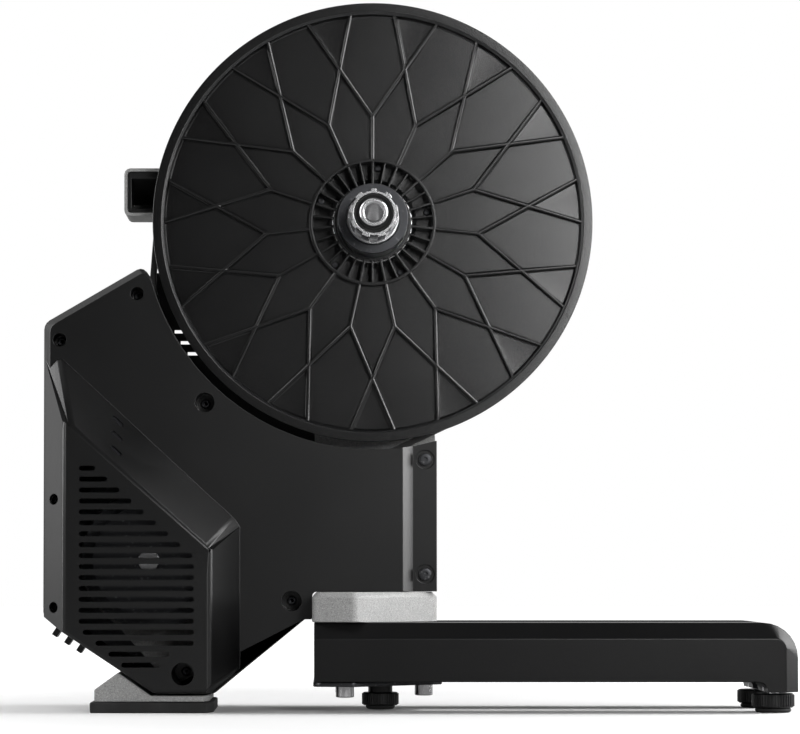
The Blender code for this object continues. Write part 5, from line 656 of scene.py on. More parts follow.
def merged_copy(node):
    """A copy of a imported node's mesh, its triangles merged back into flat faces."""
    piece = copied(frame["nodes"][node], "fine_" + node)
    start_edit(piece)
    bpy.ops.mesh.customdata_custom_splitnormals_clear()
    merge_flats()
    end_edit()
    return piece


def dress(piece, body, slot, *nodes):
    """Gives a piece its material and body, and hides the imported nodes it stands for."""
    piece.data.materials.clear()
    piece.data.materials.append(finish_named(slot))
    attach(piece, body)
    if nodes:
        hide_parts(*nodes)
    return piece


def body_of(node):
    for body, nodes in frame["record"]["behaviour"]["bodies"].items():
        if node in nodes:
            return body
    raise RuntimeError(f"no body carries {node}")


def dress_as(piece, node):
    """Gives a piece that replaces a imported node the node's own material and body."""
    return dress(piece, body_of(node), NODE_SLOTS[node], node)


def fine_copy(node, width=None, segments=2, within=None):
    """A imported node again, with rounded edges, a material and the node's body."""
    width = width or NODE_ROUNDING[node]
    piece = round_edges(merged_copy(node), width, segments=segments, within=within)
    return dress_as(smooth(piece), node)


# Ribbed pulley: places along Y from the bike's centre plane, radii from the axle

PULLEY_LOW, PULLEY_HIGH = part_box("driven_pulley")
PULLEY_RADIUS = (PULLEY_HIGH.x - PULLEY_LOW.x) / 2
PULLEY_FRONT = PULLEY_LOW.y - AXLE.y
PULLEY_BACK = PULLEY_HIGH.y - AXLE.y
LIP_BACK = PULLEY_FRONT + 0.0055
GROOVE_RADIUS = PULLEY_RADIUS - 0.0055
BACK_LIP_RADIUS = GROOVE_RADIUS + 0.0030
BACK_LIP_FRONT = PULLEY_BACK - 0.0025
RIM_WALL_RADIUS = GROOVE_RADIUS - 0.0028
RIM_BEVEL = 0.0017
RIM_FACE_RADIUS = RIM_WALL_RADIUS + RIM_BEVEL
RIM_FOOT = 0.0013
FLOOR_FRONT = -0.0035
FLOOR_BACK = 0.0005
RING_RADIUS = 0.0461
RING_WALL = 0.0024
RING_FRONT = -0.0098
RIB_FRONT = -0.0095
SHORT_RIB_FRONT = -0.0086
SLEEVE_INNER = 0.0255
SLEEVE_OUTER = 0.0280
POCKET_FRONT = 0.0035
POCKET_BACK = 0.0075
WHEEL_STEPS = 240
WHEEL_ROUNDING = 0.0005
WHEEL_SMOOTH_ANGLE = 40.0
# A face whose normal leans this far towards a side faces it
FACING = 0.9

# The lattice: where a spoke forks, and the turn from there to a branch's tip
FORK_RADIUS = 0.0775
BRANCH_TURN = math.radians(17.98)
# Its edges get their flats this far from the ring and the rim
CELL_MARGIN = 0.0005
RIB_ANGLE = 20.0
# How far the ribs run into what they meet
FORK_OVERLAP = 0.0008
RIM_OVERLAP = 0.0012
FLOOR_OVERLAP = 0.0010
# The lattice's own floor: how far it runs into the rim, stands before the wheel's floor and
# reaches into it, and its steps for each spoke
PLATE_OVERLAP = 0.0010
PLATE_STAND = 0.0002
PLATE_DEPTH = 0.0020
PLATE_STEPS = 6

# Ribs across the hub's pockets: widths at the front and at the root, and how far back from
# the lower ribs' front the edges are rounded
HUB_SPOKE_WIDTHS = (0.0018, 0.0024)
HUB_RIB_WIDTHS = (0.0013, 0.0019)
HUB_RIB_OVERLAP = 0.0008
HUB_RIB_BACK = POCKET_FRONT + 0.0005
HUB_RIB_ROUNDED = 0.0010
HUB_RIB_ROUNDING = 0.0003

# The metal hub face behind the pockets
HUB_FACE_BACK = POCKET_FRONT - 0.0002
HUB_FACE_SECTION = (
    (0.0283, HUB_FACE_BACK), (0.0283, -0.0022), (0.0288, -0.0022), (0.0322, 0.0012),
    (0.0322, HUB_FACE_BACK),
)
HUB_FACE_ROUNDING = 0.0002


def pulley_section():
    """The pulley's section from the back of the rim, round the lip, floor, ring and sleeve."""
    return [
        (RIM_WALL_RADIUS, PULLEY_BACK),
        (BACK_LIP_RADIUS, PULLEY_BACK),
        (BACK_LIP_RADIUS, BACK_LIP_FRONT),
        (GROOVE_RADIUS, BACK_LIP_FRONT),
        (GROOVE_RADIUS, LIP_BACK),
        (PULLEY_RADIUS, LIP_BACK),
        (PULLEY_RADIUS, PULLEY_FRONT),
        (RIM_FACE_RADIUS, PULLEY_FRONT),
        (RIM_WALL_RADIUS, PULLEY_FRONT + RIM_BEVEL),
        (RIM_WALL_RADIUS, FLOOR_FRONT - RIM_FOOT),
        (RIM_WALL_RADIUS - RIM_FOOT, FLOOR_FRONT),
        (RING_RADIUS, FLOOR_FRONT),
        (RING_RADIUS, RING_FRONT),
        (RING_RADIUS - RING_WALL, RING_FRONT),
        (RING_RADIUS - RING_WALL, POCKET_FRONT),
        (SLEEVE_OUTER, POCKET_FRONT),
        (SLEEVE_OUTER, RING_FRONT),
        (SLEEVE_INNER, RING_FRONT),
        (SLEEVE_INNER, POCKET_BACK),
        (RING_RADIUS, POCKET_BACK),
        (RING_RADIUS, FLOOR_BACK),
        (RIM_WALL_RADIUS, FLOOR_BACK),
    ]


def in_wheel(radius, angle, y):
    """A place in the pulley from a radius and an angle from straight up."""
    return AXLE + Vector((radius * math.sin(angle), y, radius * math.cos(angle)))


def rib(name, start, end, top, root, front, back):
    """A rib between two places: a bar drawn in towards its front."""
    run = end - start
    middle = (start + end) / 2
    middle.y = AXLE.y + (front + back) / 2
    bpy.ops.mesh.primitive_cube_add(size=1.0, location=(0.0, 0.0, 0.0))
    piece = bpy.context.object
    piece.name = name
    piece.scale = (run.length, back - front, root)
    settle(piece)
    start_edit(piece)
    bpy.ops.mesh.select_all(action="DESELECT")
    bpy.ops.mesh.select_mode(type="FACE")
    shape = bmesh.from_edit_mesh(piece.data)
    for face in shape.faces:
        face.select_set(face.normal.y < -FACING)
    bmesh.update_edit_mesh(piece.data)
    bpy.ops.transform.resize(value=(1.0, 1.0, top / root))
    end_edit()
    piece.rotation_euler = (0.0, math.atan2(-run.z, run.x), 0.0)
    piece.location = middle
    return settle(piece)


def lattice_ribs():
    """One spoke with its fork, copied round the axle."""
    setting = sizes()
    pitch = math.tau / setting.rib_count
    widths = (setting.rib_top, setting.rib_root)
    depth = (RIB_FRONT, FLOOR_FRONT + FLOOR_OVERLAP)
    hub = in_wheel(RING_RADIUS - RING_WALL / 2, 0.0, 0.0)
    fork = in_wheel(FORK_RADIUS, 0.0, 0.0)
    spoke_end = fork + (fork - hub).normalized() * FORK_OVERLAP
    models = [rib("spoke", hub, spoke_end, *widths, *depth)]
    for side in (-1, 1):
        tip = in_wheel(RIM_WALL_RADIUS + RIM_OVERLAP, side * BRANCH_TURN, 0.0)
        models.append(rib("branch", fork, tip, *widths, *depth))
    ribs = list(models)
    for index in range(1, setting.rib_count):
        turn = turn_about(AXLE, Y_AXIS, index * pitch)
        ribs += [copied(model, model.name, turn) for model in models]
    return joined(ribs, "rib_lattice")


def floor_plate():
    """The pulley's floor, a flat ring that carries the lattice."""
    outer = RIM_WALL_RADIUS + PLATE_OVERLAP
    inner = RING_RADIUS - RING_WALL / 2
    front = FLOOR_FRONT - PLATE_STAND
    back = FLOOR_FRONT + PLATE_DEPTH
    section = [(inner, front), (outer, front), (outer, back), (inner, back)]
    return turned("pulley_floor", section, AXLE, Y_AXIS, sizes().rib_count * PLATE_STEPS)


def build_lattice():
    """The floor and its ribs as one piece, with flats along the ribs' edges and feet."""
    plate = floor_plate()
    ribs = lattice_ribs()
    with_modifier(plate, "BOOLEAN", operation="UNION", object=ribs, use_self=True)
    bpy.data.objects.remove(ribs)
    start_edit(plate)
    merge_flats()
    end_edit()
    inner = RING_RADIUS + CELL_MARGIN
    outer = RIM_WALL_RADIUS - CELL_MARGIN

    def in_cells(place):
        distance = math.hypot(place.x - AXLE.x, place.z - AXLE.z)
        return inner < distance < outer

    round_edges(plate, sizes().rib_rounding, RIB_ANGLE, segments=1, within=in_cells)
    return smooth(plate)


def build_hub_ribs():
    """Ribs across the hub's pockets: the spokes' inner ends and a lower one between each two."""
    setting = sizes()
    pitch = math.tau / setting.rib_count
    start = in_wheel(SLEEVE_OUTER - HUB_RIB_OVERLAP, 0.0, 0.0)
    end = in_wheel(RING_RADIUS - RING_WALL + HUB_RIB_OVERLAP, 0.0, 0.0)
    tall = rib("hub_spoke", start, end, *HUB_SPOKE_WIDTHS, RIB_FRONT, HUB_RIB_BACK)
    low = rib("hub_rib", start, end, *HUB_RIB_WIDTHS, SHORT_RIB_FRONT, HUB_RIB_BACK)

    def near_front(place):
        return place.y < AXLE.y + SHORT_RIB_FRONT + HUB_RIB_ROUNDED

    for piece in (tall, low):
        round_edges(piece, HUB_RIB_ROUNDING, within=near_front)
    low.data.transform(turn_about(AXLE, Y_AXIS, pitch / 2))
    ribs = [tall, low]
    for index in range(1, setting.rib_count):
        turn = turn_about(AXLE, Y_AXIS, index * pitch)
        ribs += [copied(tall, "hub_spoke", turn), copied(low, "hub_rib", turn)]
    return smooth(joined(ribs, "hub_ribs"))


def build_hub_face():
    """The metal hub face that shows between the ribs in the hub's pockets."""
    section = softened(HUB_FACE_SECTION, HUB_FACE_ROUNDING)
    return smooth(turned("hub_face", section, AXLE, Y_AXIS, sizes().round_steps))


SCREW_STEPS = 48
DOME_STEPS = 6
# Shares of a head's radius: the flat on its dome, the rest, and the rounding of its edges
DOME_FLAT = 0.45
DOME_REST = 0.55
SCREW_ROUNDING = 0.03
SCREW_ANGLE = 35.0


def socket_screw(name, radius, height, socket_radius, depth, dome):
    """A screw head that stands on Z = 0, with a hexagon socket in its face."""
    rim = height - dome
    section = [(0.0, 0.0), (radius, 0.0), (radius, rim)]
    for step in range(1, DOME_STEPS):
        angle = step / DOME_STEPS * math.pi / 2
        reach = radius * (DOME_FLAT + DOME_REST * math.cos(angle))
        section.append((reach, rim + dome * math.sin(angle)))
    section += [(radius * DOME_FLAT, height), (0.0, height)]
    head = turned(name, section, Vector((0, 0, 0)), Z_AXIS, SCREW_STEPS)
    bpy.ops.mesh.primitive_cylinder_add(
        vertices=6, radius=socket_radius, depth=depth * 2, location=(0.0, 0.0, height)
    )
    key = settle(bpy.context.object)
    with_modifier(head, "BOOLEAN", operation="DIFFERENCE", object=key)
    bpy.data.objects.remove(key)
    start_edit(head)
    merge_flats()
    end_edit()
    round_edges(head, radius * SCREW_ROUNDING, SCREW_ANGLE)
    return smooth(head, SCREW_ANGLE)


def placed_copies(model, name, matrices):
    """Copies of a model at several places, as one piece."""
    pieces = [copied(model, name, matrix) for matrix in matrices]
    bpy.data.objects.remove(model)
    return joined(pieces, name)


def facing(place, direction):
    """Stands a screw modelled along +Z at a place, its head towards a direction."""
    return Matrix.Translation(place) @ direction.to_track_quat("Z", "Y").to_matrix().to_4x4()


PULLEY_SCREW_COUNT = 5
PULLEY_SCREW_CIRCLE = 0.0408
PULLEY_SCREW = dict(radius=0.0026, height=0.0022, socket_radius=0.0012, depth=0.0012, dome=0.0006)


def build_pulley_screws():
    """The screws between pulley and hub, each between two of the pockets' ribs."""
    head = socket_screw("pulley_screw", **PULLEY_SCREW)
    first = math.tau / sizes().rib_count / 4
    step = math.tau / PULLEY_SCREW_COUNT
    places = [
        in_wheel(PULLEY_SCREW_CIRCLE, first + index * step, POCKET_FRONT)
        for index in range(PULLEY_SCREW_COUNT)
    ]
    return placed_copies(head, "pulley_screws", [facing(place, -Y_AXIS) for place in places])


class TRAINER_OT_driven_pulley(bpy.types.Operator):
    """Builds the ribbed driven pulley with its lattice and hub pockets"""

    bl_idname = "trainer.driven_pulley"
    bl_label = "Driven pulley"

    def execute(self, context):
        section = softened(pulley_section(), WHEEL_ROUNDING)
        wheel = turned("pulley_wheel", section, AXLE, Y_AXIS, WHEEL_STEPS)
        dress_as(smooth(wheel, WHEEL_SMOOTH_ANGLE), "driven_pulley")
        dress(build_lattice(), "pulley", "pulley_moulding")
        dress(build_hub_ribs(), "pulley", "pulley_moulding")
        dress(build_hub_face(), "pulley", "bright_steel")
        dress(build_pulley_screws(), "pulley", "dark_steel")
        return {"FINISHED"}


# Hub, freehub and axle ends: places along Y from the bike's centre plane, radii from the axle

CLAMP_RING_SECTION = ((0.0252, -0.0330), (0.0252, -0.0295), (0.0192, -0.0295), (0.0192, -0.0330))
CLAMP_RING_ROUNDING = 0.0005
# A flat face with two lips round a groove
SEAL_SECTION = (
    (0.01025, -0.0621), (0.0139, -0.0621), (0.0139, -0.0654), (0.0126, -0.0654),
    (0.0122, -0.0640), (0.0116, -0.0640), (0.0112, -0.0652), (0.01025, -0.0652),
)
SEAL_ROUNDING = 0.0003
CAP_RADIUS = 0.00995
CAP_FACE_RADIUS = 0.0092
CAP_CHAMFER = 0.0008
CAP_BORE = 0.0061
CAP_MOUTH_RADIUS = 0.0075
CAP_MOUTH_DEPTH = 0.0014
CAP_SLEEVE_RADIUS = 0.0088
CAP_WALL = 0.0066
CAP_ROUNDING = 0.0002


def build_end_cap(node, side):
    """An axle end cap with a widened mouth; side is -1 on the drive side."""
    low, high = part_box(node)
    outer_face = (low if side < 0 else high).y - AXLE.y
    inner_face = (high if side < 0 else low).y - AXLE.y
    wall = outer_face - side * CAP_WALL
    section = [
        (CAP_MOUTH_RADIUS, outer_face), (CAP_FACE_RADIUS, outer_face),
        (CAP_RADIUS, outer_face - side * CAP_CHAMFER), (CAP_RADIUS, inner_face),
        (CAP_SLEEVE_RADIUS, inner_face), (CAP_SLEEVE_RADIUS, wall),
        (CAP_BORE, wall), (CAP_BORE, outer_face - side * CAP_MOUTH_DEPTH),
    ]
    if side < 0:
        section.reverse()
    name = node.replace("_", "_fine_", 1)
    cap = turned(name, section, AXLE, Y_AXIS, sizes().round_steps)
    round_edges(cap, CAP_ROUNDING)
    return smooth(cap)


class TRAINER_OT_hub(bpy.types.Operator):
    """Builds the hub ring, splined freehub, seal and axle ends"""

    bl_idname = "trainer.hub"
    bl_label = "Hub and axle ends"

    def execute(self, context):
        steps = sizes().round_steps
        section = softened(CLAMP_RING_SECTION, CLAMP_RING_ROUNDING)
        ring = turned("clamp_ring", section, AXLE, Y_AXIS, steps)
        dress_as(smooth(ring), "hub_ring")
        fine_copy("hub_shell")
        fine_copy("freehub_body")
        section = softened(SEAL_SECTION, SEAL_ROUNDING)
        seal = turned("freehub_lip_seal", section, AXLE, Y_AXIS, steps)
        dress_as(smooth(seal), "freehub_seal")
        for node, side in (("drive_end_cap", -1), ("left_end_cap", 1)):
            dress_as(build_end_cap(node, side), node)
        fine_copy("fixed_axle")
        fine_copy("axle_nut")
        return {"FINISHED"}


# Casing

# The drive side's vented bulge stands out past this, and its long creases are rounded broadly
BULGE_START = 0.0205
CREASE_WIDTH = 0.0030
CREASE_ANGLE = 12.0
CREASE_LENGTH = 0.018
CREASE_STEPS = 4
# The cover's other edges, as a share of the shells' rounding
COVER_SHARE = 0.6
# The slotted web of the left cover, as a ball round its middle
SLOTS_MIDDLE = (-0.1380, 0.0392, 0.2690)
SLOTS_REACH = 0.028


def on_bulge(place):
    """On the bulge, clear of the casing's own edges."""
    return place.y < AXLE.y - BULGE_START


def off_bulge(place):
    """Clear of the bulge, whose vents are too thin to round."""
    return not on_bulge(place)


def clear_of_slots(place):
    """Clear of the slotted web, which is too thin to round."""
    return (place - at(*SLOTS_MIDDLE)).length > SLOTS_REACH


class TRAINER_OT_casing(bpy.types.Operator):
    """Builds both side covers, the status lights and the power inlet"""

    bl_idname = "trainer.casing"
    bl_label = "Casing"

    def execute(self, context):
        shell = merged_copy("drive_side_cover")
        round_edges(shell, CREASE_WIDTH, CREASE_ANGLE, CREASE_LENGTH, CREASE_STEPS, on_bulge)
        round_edges(shell, sizes().shell_rounding * COVER_SHARE, within=off_bulge)
        dress_as(smooth(shell), "drive_side_cover")
        fine_copy("left_side_cover", sizes().shell_rounding, within=clear_of_slots)
        fine_copy("status_light_guide")
        fine_copy("power_inlet")
        return {"FINISHED"}


# The cover screws' seats from the axle and the floor, and how far the heads stand in them
COVER_SCREW_SEAT = 0.0010
SEAT_OVERLAP = 0.0003
COVER_SCREWS = (
    (-0.2258, 0.2670), (-0.1700, 0.3005), (-0.2283, 0.1517), (-0.2283, 0.0745),
    (-0.1211, 0.2218), (-0.0585, 0.0790), (-0.1350, 0.0277),
)
COVER_SCREW = dict(radius=0.0034, height=0.0026, socket_radius=0.0015, depth=0.0014, dome=0.0008)
FLANGE_SCREW = dict(radius=0.0044, height=0.0030, socket_radius=0.0020, depth=0.0016, dome=0.0004)


class TRAINER_OT_casing_screws(bpy.types.Operator):
    """Builds the screws down the casing's recesses and on its front strip"""

    bl_idname = "trainer.casing_screws"
    bl_label = "Casing screws"

    def execute(self, context):
        head = socket_screw("cover_screw", **COVER_SCREW)
        places = [at(x, COVER_SCREW_SEAT - SEAT_OVERLAP, z) for x, z in COVER_SCREWS]
        screws = placed_copies(head, "cover_screws", [facing(place, -Y_AXIS) for place in places])
        dress(screws, "chassis", "dark_steel")
        for side, outward in (("drive", -Y_AXIS), ("left", Y_AXIS)):
            for height in ("low", "high"):
                node = f"{side}_flange_screw_{height}"
                low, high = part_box(node)
                seat = (low + high) / 2
                face = low.y if side == "drive" else high.y
                seat.y = face - outward.y * FLANGE_SCREW["height"]
                model = socket_screw(node + "_head", **FLANGE_SCREW)
                model.data.transform(facing(seat, outward))
                dress_as(model, node)
        return {"FINISHED"}


# Frame, base and legs

# Rounding of these castings, as shares of the castings' rounding, and its steps
LEG_SHARE = 0.7
REAR_FOOT_SHARE = 0.8
CASTING_STEPS = 3
CLAMP_BOLT = dict(radius=0.0065, height=0.0080, socket_radius=0.0034, depth=0.0040, dome=0.0008)


class TRAINER_OT_frame(bpy.types.Operator):
    """Builds the frame casting with its carry handle and the plug in the handle's end"""

    bl_idname = "trainer.frame"
    bl_label = "Frame"

    def execute(self, context):
        fine_copy("frame_casting")
        fine_copy("handle_plug")
        return {"FINISHED"}


class TRAINER_OT_base(bpy.types.Operator):
    """Builds the base casting, clamp plate and clamp bolts"""

    bl_idname = "trainer.base"
    bl_label = "Base"

    def execute(self, context):
        fine_copy("base_casting", sizes().casting_rounding, CASTING_STEPS)
        fine_copy("leg_clamp_plate")
        for node in ("right_leg_bolt", "left_leg_bolt", "front_clamp_bolt"):
            low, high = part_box(node)
            seat = (low + high) / 2
            seat.z = low.z + CLAMP_BOLT["height"]
            model = socket_screw(node + "_head", **CLAMP_BOLT)
            model.data.transform(facing(seat, -Z_AXIS))
            dress_as(model, node)
        return {"FINISHED"}


class TRAINER_OT_legs(bpy.types.Operator):
    """Builds both folding legs"""

    bl_idname = "trainer.legs"
    bl_label = "Legs"

    def execute(self, context):
        for node in ("right_leg", "left_leg"):
            fine_copy(node, sizes().casting_rounding * LEG_SHARE, CASTING_STEPS)
        return {"FINISHED"}


# Feet: radii from a foot's own axis, heights from the floor

KNOB_BORE = 0.0045
KNOB_CHAMFER = 0.0008
# A ridge: how far it stands out of the knob, its whole depth, its share of the pitch, and
# how far in from its front the edges are rounded
RIDGE_STAND = 0.0006
RIDGE_DEPTH = 0.0016
RIDGE_SHARE = 0.55
RIDGE_ROUNDED = 0.0010
RIDGE_ROUNDING = 0.00025
# A pad: the chamfer of its tread, the radius of its stem, the fall of its shoulder, and the
# heights of its side, its shoulder and the last rounded edges
PAD_CHAMFER = 0.0012
PAD_STEM = 0.0028
PAD_FALL = 0.0008
PAD_SIDE = 0.0024
PAD_SHOULDER = 0.0033
PAD_ROUNDED = 0.0034
PAD_ROUNDING = 0.0004
# Each foot with its knob's radius over the ridges, the knob's ends and its pad's radius
FEET = {
    "right_foot": (0.01515, 0.0036, 0.0136, 0.0128),
    "left_foot": (0.01515, 0.0036, 0.0136, 0.0128),
    "centre_foot": (0.01335, 0.0035, 0.0129, 0.0105),
}


def foot_axis(node):
    """Where the upright axis of a foot's piece meets the floor."""
    low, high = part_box(node)
    centre = (low + high) / 2
    centre.z = 0.0
    return centre


def grip_knob(node, radius, low, high):
    """A turned knob with upright ridges round its rim."""
    name = "ridged_" + node
    centre = foot_axis(node)
    waist = radius - RIDGE_STAND
    section = [
        (KNOB_BORE, low), (waist - KNOB_CHAMFER, low), (waist, low + KNOB_CHAMFER),
        (waist, high - KNOB_CHAMFER), (waist - KNOB_CHAMFER, high), (KNOB_BORE, high),
    ]
    knob = turned(name, section, centre, Z_AXIS, sizes().round_steps)
    count = sizes().grip_ridges
    width = math.tau * radius / count * RIDGE_SHARE
    bpy.ops.mesh.primitive_cube_add(size=1.0, location=(0.0, 0.0, 0.0))
    ridge = bpy.context.object
    ridge.scale = (RIDGE_DEPTH, width, high - low - KNOB_CHAMFER * 2)
    ridge.location = centre + Vector((radius - RIDGE_DEPTH / 2, 0.0, (low + high) / 2))
    settle(ridge)

    def near_rim(place):
        return place.x > centre.x + radius - RIDGE_ROUNDED

    round_edges(ridge, RIDGE_ROUNDING, within=near_rim)
    ridges = [ridge]
    for index in range(1, count):
        turn = turn_about(centre, Z_AXIS, index * math.tau / count)
        ridges.append(copied(ridge, "ridge", turn))
    return smooth(joined([knob] + ridges, name))


def foot_pad(node, radius):
    """A rubber foot with a rounded tread, and a stem up into its knob."""
    low, high = (corner.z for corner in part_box(node))
    section = [
        (0.0, low), (radius - PAD_CHAMFER, low), (radius, low + PAD_CHAMFER),
        (radius, low + PAD_SIDE), (radius - PAD_FALL, low + PAD_SHOULDER),
        (PAD_STEM, low + PAD_SHOULDER), (PAD_STEM, high), (0.0, high),
    ]
    pad = turned("round_" + node, section, foot_axis(node), Z_AXIS, sizes().round_steps)

    def below_stem(place):
        return place.z < low + PAD_ROUNDED

    round_edges(pad, PAD_ROUNDING, within=below_stem)
    return smooth(pad)


class TRAINER_OT_feet(bpy.types.Operator):
    """Builds the screw feet with their ridged knobs and rubber pads"""

    bl_idname = "trainer.feet"
    bl_label = "Feet"

    def execute(self, context):
        for foot, (radius, low, high, pad_radius) in FEET.items():
            dress_as(grip_knob(foot + "_knob", radius, low, high), foot + "_knob")
            dress_as(foot_pad(foot + "_pad", pad_radius), foot + "_pad")
        fine_copy("centre_foot_boss")
        fine_copy("rear_foot_casting", sizes().casting_rounding * REAR_FOOT_SHARE)
        fine_copy("rear_foot_pad", segments=CASTING_STEPS)
        return {"FINISHED"}


INNER_NODES = (
    "flywheel", "flywheel_shaft", "shaft_pulley", "shaft_nut", "brake_rotor", "idler_pulley",
    "idler_axle", "tensioner_arm", "circuit_board", "drive_belt", "rear_foot_bolt_back",
    "rear_foot_bolt_front",
)


class TRAINER_OT_inner_parts(bpy.types.Operator):
    """Finishes the drive train and electronics inside the casing"""

    bl_idname = "trainer.inner_parts"
    bl_label = "Inner parts"

    def execute(self, context):
        for node in INNER_NODES:
            fine_copy(node, INNER_ROUNDING)
        for node, piece in frame["nodes"].items():
            for slot in piece.material_slots:
                slot.material = finish_named(NODE_SLOTS[node])
        return {"FINISHED"}


# Floor, lamps and camera

FLOOR_SIZE = 12.0
# How much of its colour the floor shows the camera, and its glow near the object and far off
FLOOR_SHOWN = 0.42
FLOOR_LIFT_NEAR = 0.03
FLOOR_LIFT_FAR = 0.92
FLOOR_LIFT_RADIUS = 0.60
FLOOR_LIFT_BLUR = 0.35
# The sky's strength in front of the object and behind it, where reflections get some more
AMBIENT_FRONT = 0.02
AMBIENT_BACK = 0.40
AMBIENT_EDGE = 0.10
AMBIENT_BLUR = 0.60
GLOSSY_LIFT = 0.5
# Each softbox with its place, width, height and watts
LAMP_AIM = Vector((0.0, 0.0, 0.25))
LAMPS = (
    ("front_softbox", (0.63, -2.0, 0.72), 0.6, 0.8, 15.5),
    ("fill_softbox", (-1.3, -0.95, 0.45), 0.4, 0.6, 4.0),
    ("edge_softbox", (1.15, 0.50, 0.45), 0.4, 0.8, 2.0),
    ("key_softbox", (1.15, -0.45, 0.50), 0.35, 0.7, 5.0),
    ("right_softbox", (1.2, 0.05, 0.75), 0.5, 1.4, 22.0),
    ("left_softbox", (-1.2, 0.05, 0.65), 0.4, 1.3, 10.0),
    ("top_softbox", (-0.5, -0.1, 1.4), 1.2, 1.0, 1.5),
)
CAMERA_LENS = 137.0
CAMERA_PLACE = at(-0.0334, -2.2102, 0.1014)
CAMERA_TILT = math.radians(2.087)
CAMERA_SHIFT = (0.0919, 0.1147)


def stage_floor():
    """A pale floor that the camera sees as white where no shadow falls."""
    bpy.ops.mesh.primitive_plane_add(size=FLOOR_SIZE)
    floor = settle(bpy.context.object)
    floor.name = "studio_floor"
    paint = Paint("studio_floor", tuple(finishes().ground), 0.9, **{"Specular IOR Level": 0.1})
    seen = paint.node("ShaderNodeLightPath", {}, {}, "Is Camera Ray")
    grain = paint.noise(40.0)
    shade = paint.blend(grain, tone(paint.colour, 0.99), paint.colour)
    paint.set(**{"Base Color": paint.blend(seen, tone(paint.colour, FLOOR_SHOWN), shade)})
    away = paint.node("ShaderNodeVectorMath", {"operation": "LENGTH"}, {0: paint.place}, 1)
    far_off = away.above(FLOOR_LIFT_RADIUS, FLOOR_LIFT_BLUR)
    lift = far_off * (FLOOR_LIFT_FAR - FLOOR_LIFT_NEAR) + FLOOR_LIFT_NEAR
    glow = paint.blend(seen * lift, (0.0, 0.0, 0.0), (1.0, 1.0, 1.0))
    paint.set(**{"Emission Color": glow, "Emission Strength": 1.0})
    floor.data.materials.append(paint.material)


def stage_world():
    """White to the camera; a dim sky to the object, brighter behind it than in front."""
    world = bpy.data.worlds.new("studio")
    bpy.context.scene.world = world
    world.use_nodes = True
    sky = NodeTree(world.node_tree)
    seen = sky.node("ShaderNodeLightPath", {}, {}, "Is Camera Ray")
    clear = sky.node("ShaderNodeLightPath", {}, {}, "Is Transmission Ray")
    glossy = sky.node("ShaderNodeLightPath", {}, {}, "Is Glossy Ray")
    towards = sky.node("ShaderNodeTexCoord", {}, {}, "Generated")
    depth = sky.node("ShaderNodeSeparateXYZ", {}, {"Vector": towards}, "Y")
    behind = depth.above(AMBIENT_EDGE, AMBIENT_BLUR)
    ambient = behind * (AMBIENT_BACK - AMBIENT_FRONT) + AMBIENT_FRONT
    strength = ambient * (1 + glossy * behind * GLOSSY_LIFT)
    shown = sky.node("ShaderNodeMath", {"operation": "MAXIMUM"}, {0: seen, 1: clear})
    background = world.node_tree.nodes["Background"]
    sky.fill(background.inputs["Color"], (1.0, 1.0, 1.0, 1.0))
    sky.fill(background.inputs["Strength"], shown + (1 - shown) * strength)


def stage_lamp(name, place, width, height, power):
    """A soft lamp that faces the object's middle."""
    place = Vector(place)
    data = bpy.data.lights.new(name, "AREA")
    data.shape = "RECTANGLE"
    data.size = width
    data.size_y = height
    data.energy = power
    lamp = bpy.data.objects.new(name, data)
    bpy.context.scene.collection.objects.link(lamp)
    lamp.location = place
    lamp.rotation_euler = (LAMP_AIM - place).to_track_quat("-Z", "Y").to_euler()


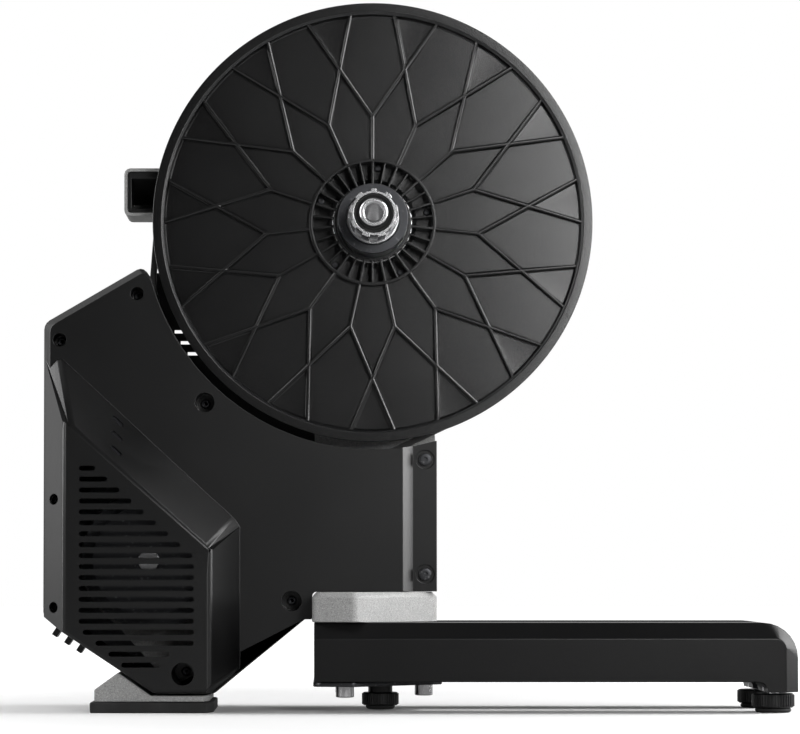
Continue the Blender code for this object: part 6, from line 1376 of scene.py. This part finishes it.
def stage_camera():
    """A long lens at the photograph's viewing angle, shifted to its framing."""
    data = bpy.data.cameras.new("photo_view")
    data.lens = CAMERA_LENS
    data.shift_x, data.shift_y = CAMERA_SHIFT
    camera = bpy.data.objects.new("photo_view", data)
    bpy.context.scene.collection.objects.link(camera)
    camera.location = CAMERA_PLACE
    camera.rotation_euler = (math.pi / 2 + CAMERA_TILT, 0.0, 0.0)
    bpy.context.scene.camera = camera


class TRAINER_OT_stage(bpy.types.Operator):
    """Sets up the floor, the soft studio light and the camera"""

    bl_idname = "trainer.stage"
    bl_label = "Stage"

    def execute(self, context):
        context.scene.view_settings.view_transform = "Standard"
        stage_floor()
        stage_world()
        stage_camera()
        for lamp in LAMPS:
            stage_lamp(*lamp)
        return {"FINISHED"}


# Panel and registration

BUILD_ORDER = (
    TRAINER_OT_stage,
    TRAINER_OT_driven_pulley,
    TRAINER_OT_hub,
    TRAINER_OT_casing,
    TRAINER_OT_casing_screws,
    TRAINER_OT_frame,
    TRAINER_OT_base,
    TRAINER_OT_legs,
    TRAINER_OT_feet,
    TRAINER_OT_inner_parts,
)


class TRAINER_PT_panel(bpy.types.Panel):
    """Lists the trainer's sizes, colours and building steps"""

    bl_idname = "TRAINER_PT_panel"
    bl_label = "Bike Trainer"
    bl_space_type = "VIEW_3D"
    bl_region_type = "UI"
    bl_category = "Trainer"

    def draw(self, context):
        for group in (context.scene.trainer_sizes, context.scene.trainer_finishes):
            box = self.layout.box()
            for name in group.__annotations__:
                box.prop(group, name)
        for operator in BUILD_ORDER:
            self.layout.operator(operator.bl_idname)


CLASSES = (TrainerSizes, TrainerFinishes, *BUILD_ORDER, TRAINER_PT_panel)


def register():
    for item in CLASSES:
        bpy.utils.register_class(item)
    bpy.types.Scene.trainer_sizes = bpy.props.PointerProperty(type=TrainerSizes)
    bpy.types.Scene.trainer_finishes = bpy.props.PointerProperty(type=TrainerFinishes)


def unregister():
    del bpy.types.Scene.trainer_finishes
    del bpy.types.Scene.trainer_sizes
    for item in reversed(CLASSES):
        bpy.utils.unregister_class(item)


def main():
    register()
    for operator in BUILD_ORDER:
        group, name = operator.bl_idname.split(".")
        getattr(getattr(bpy.ops, group), name)()
    deselect()


if __name__ == "__main__":
    main()
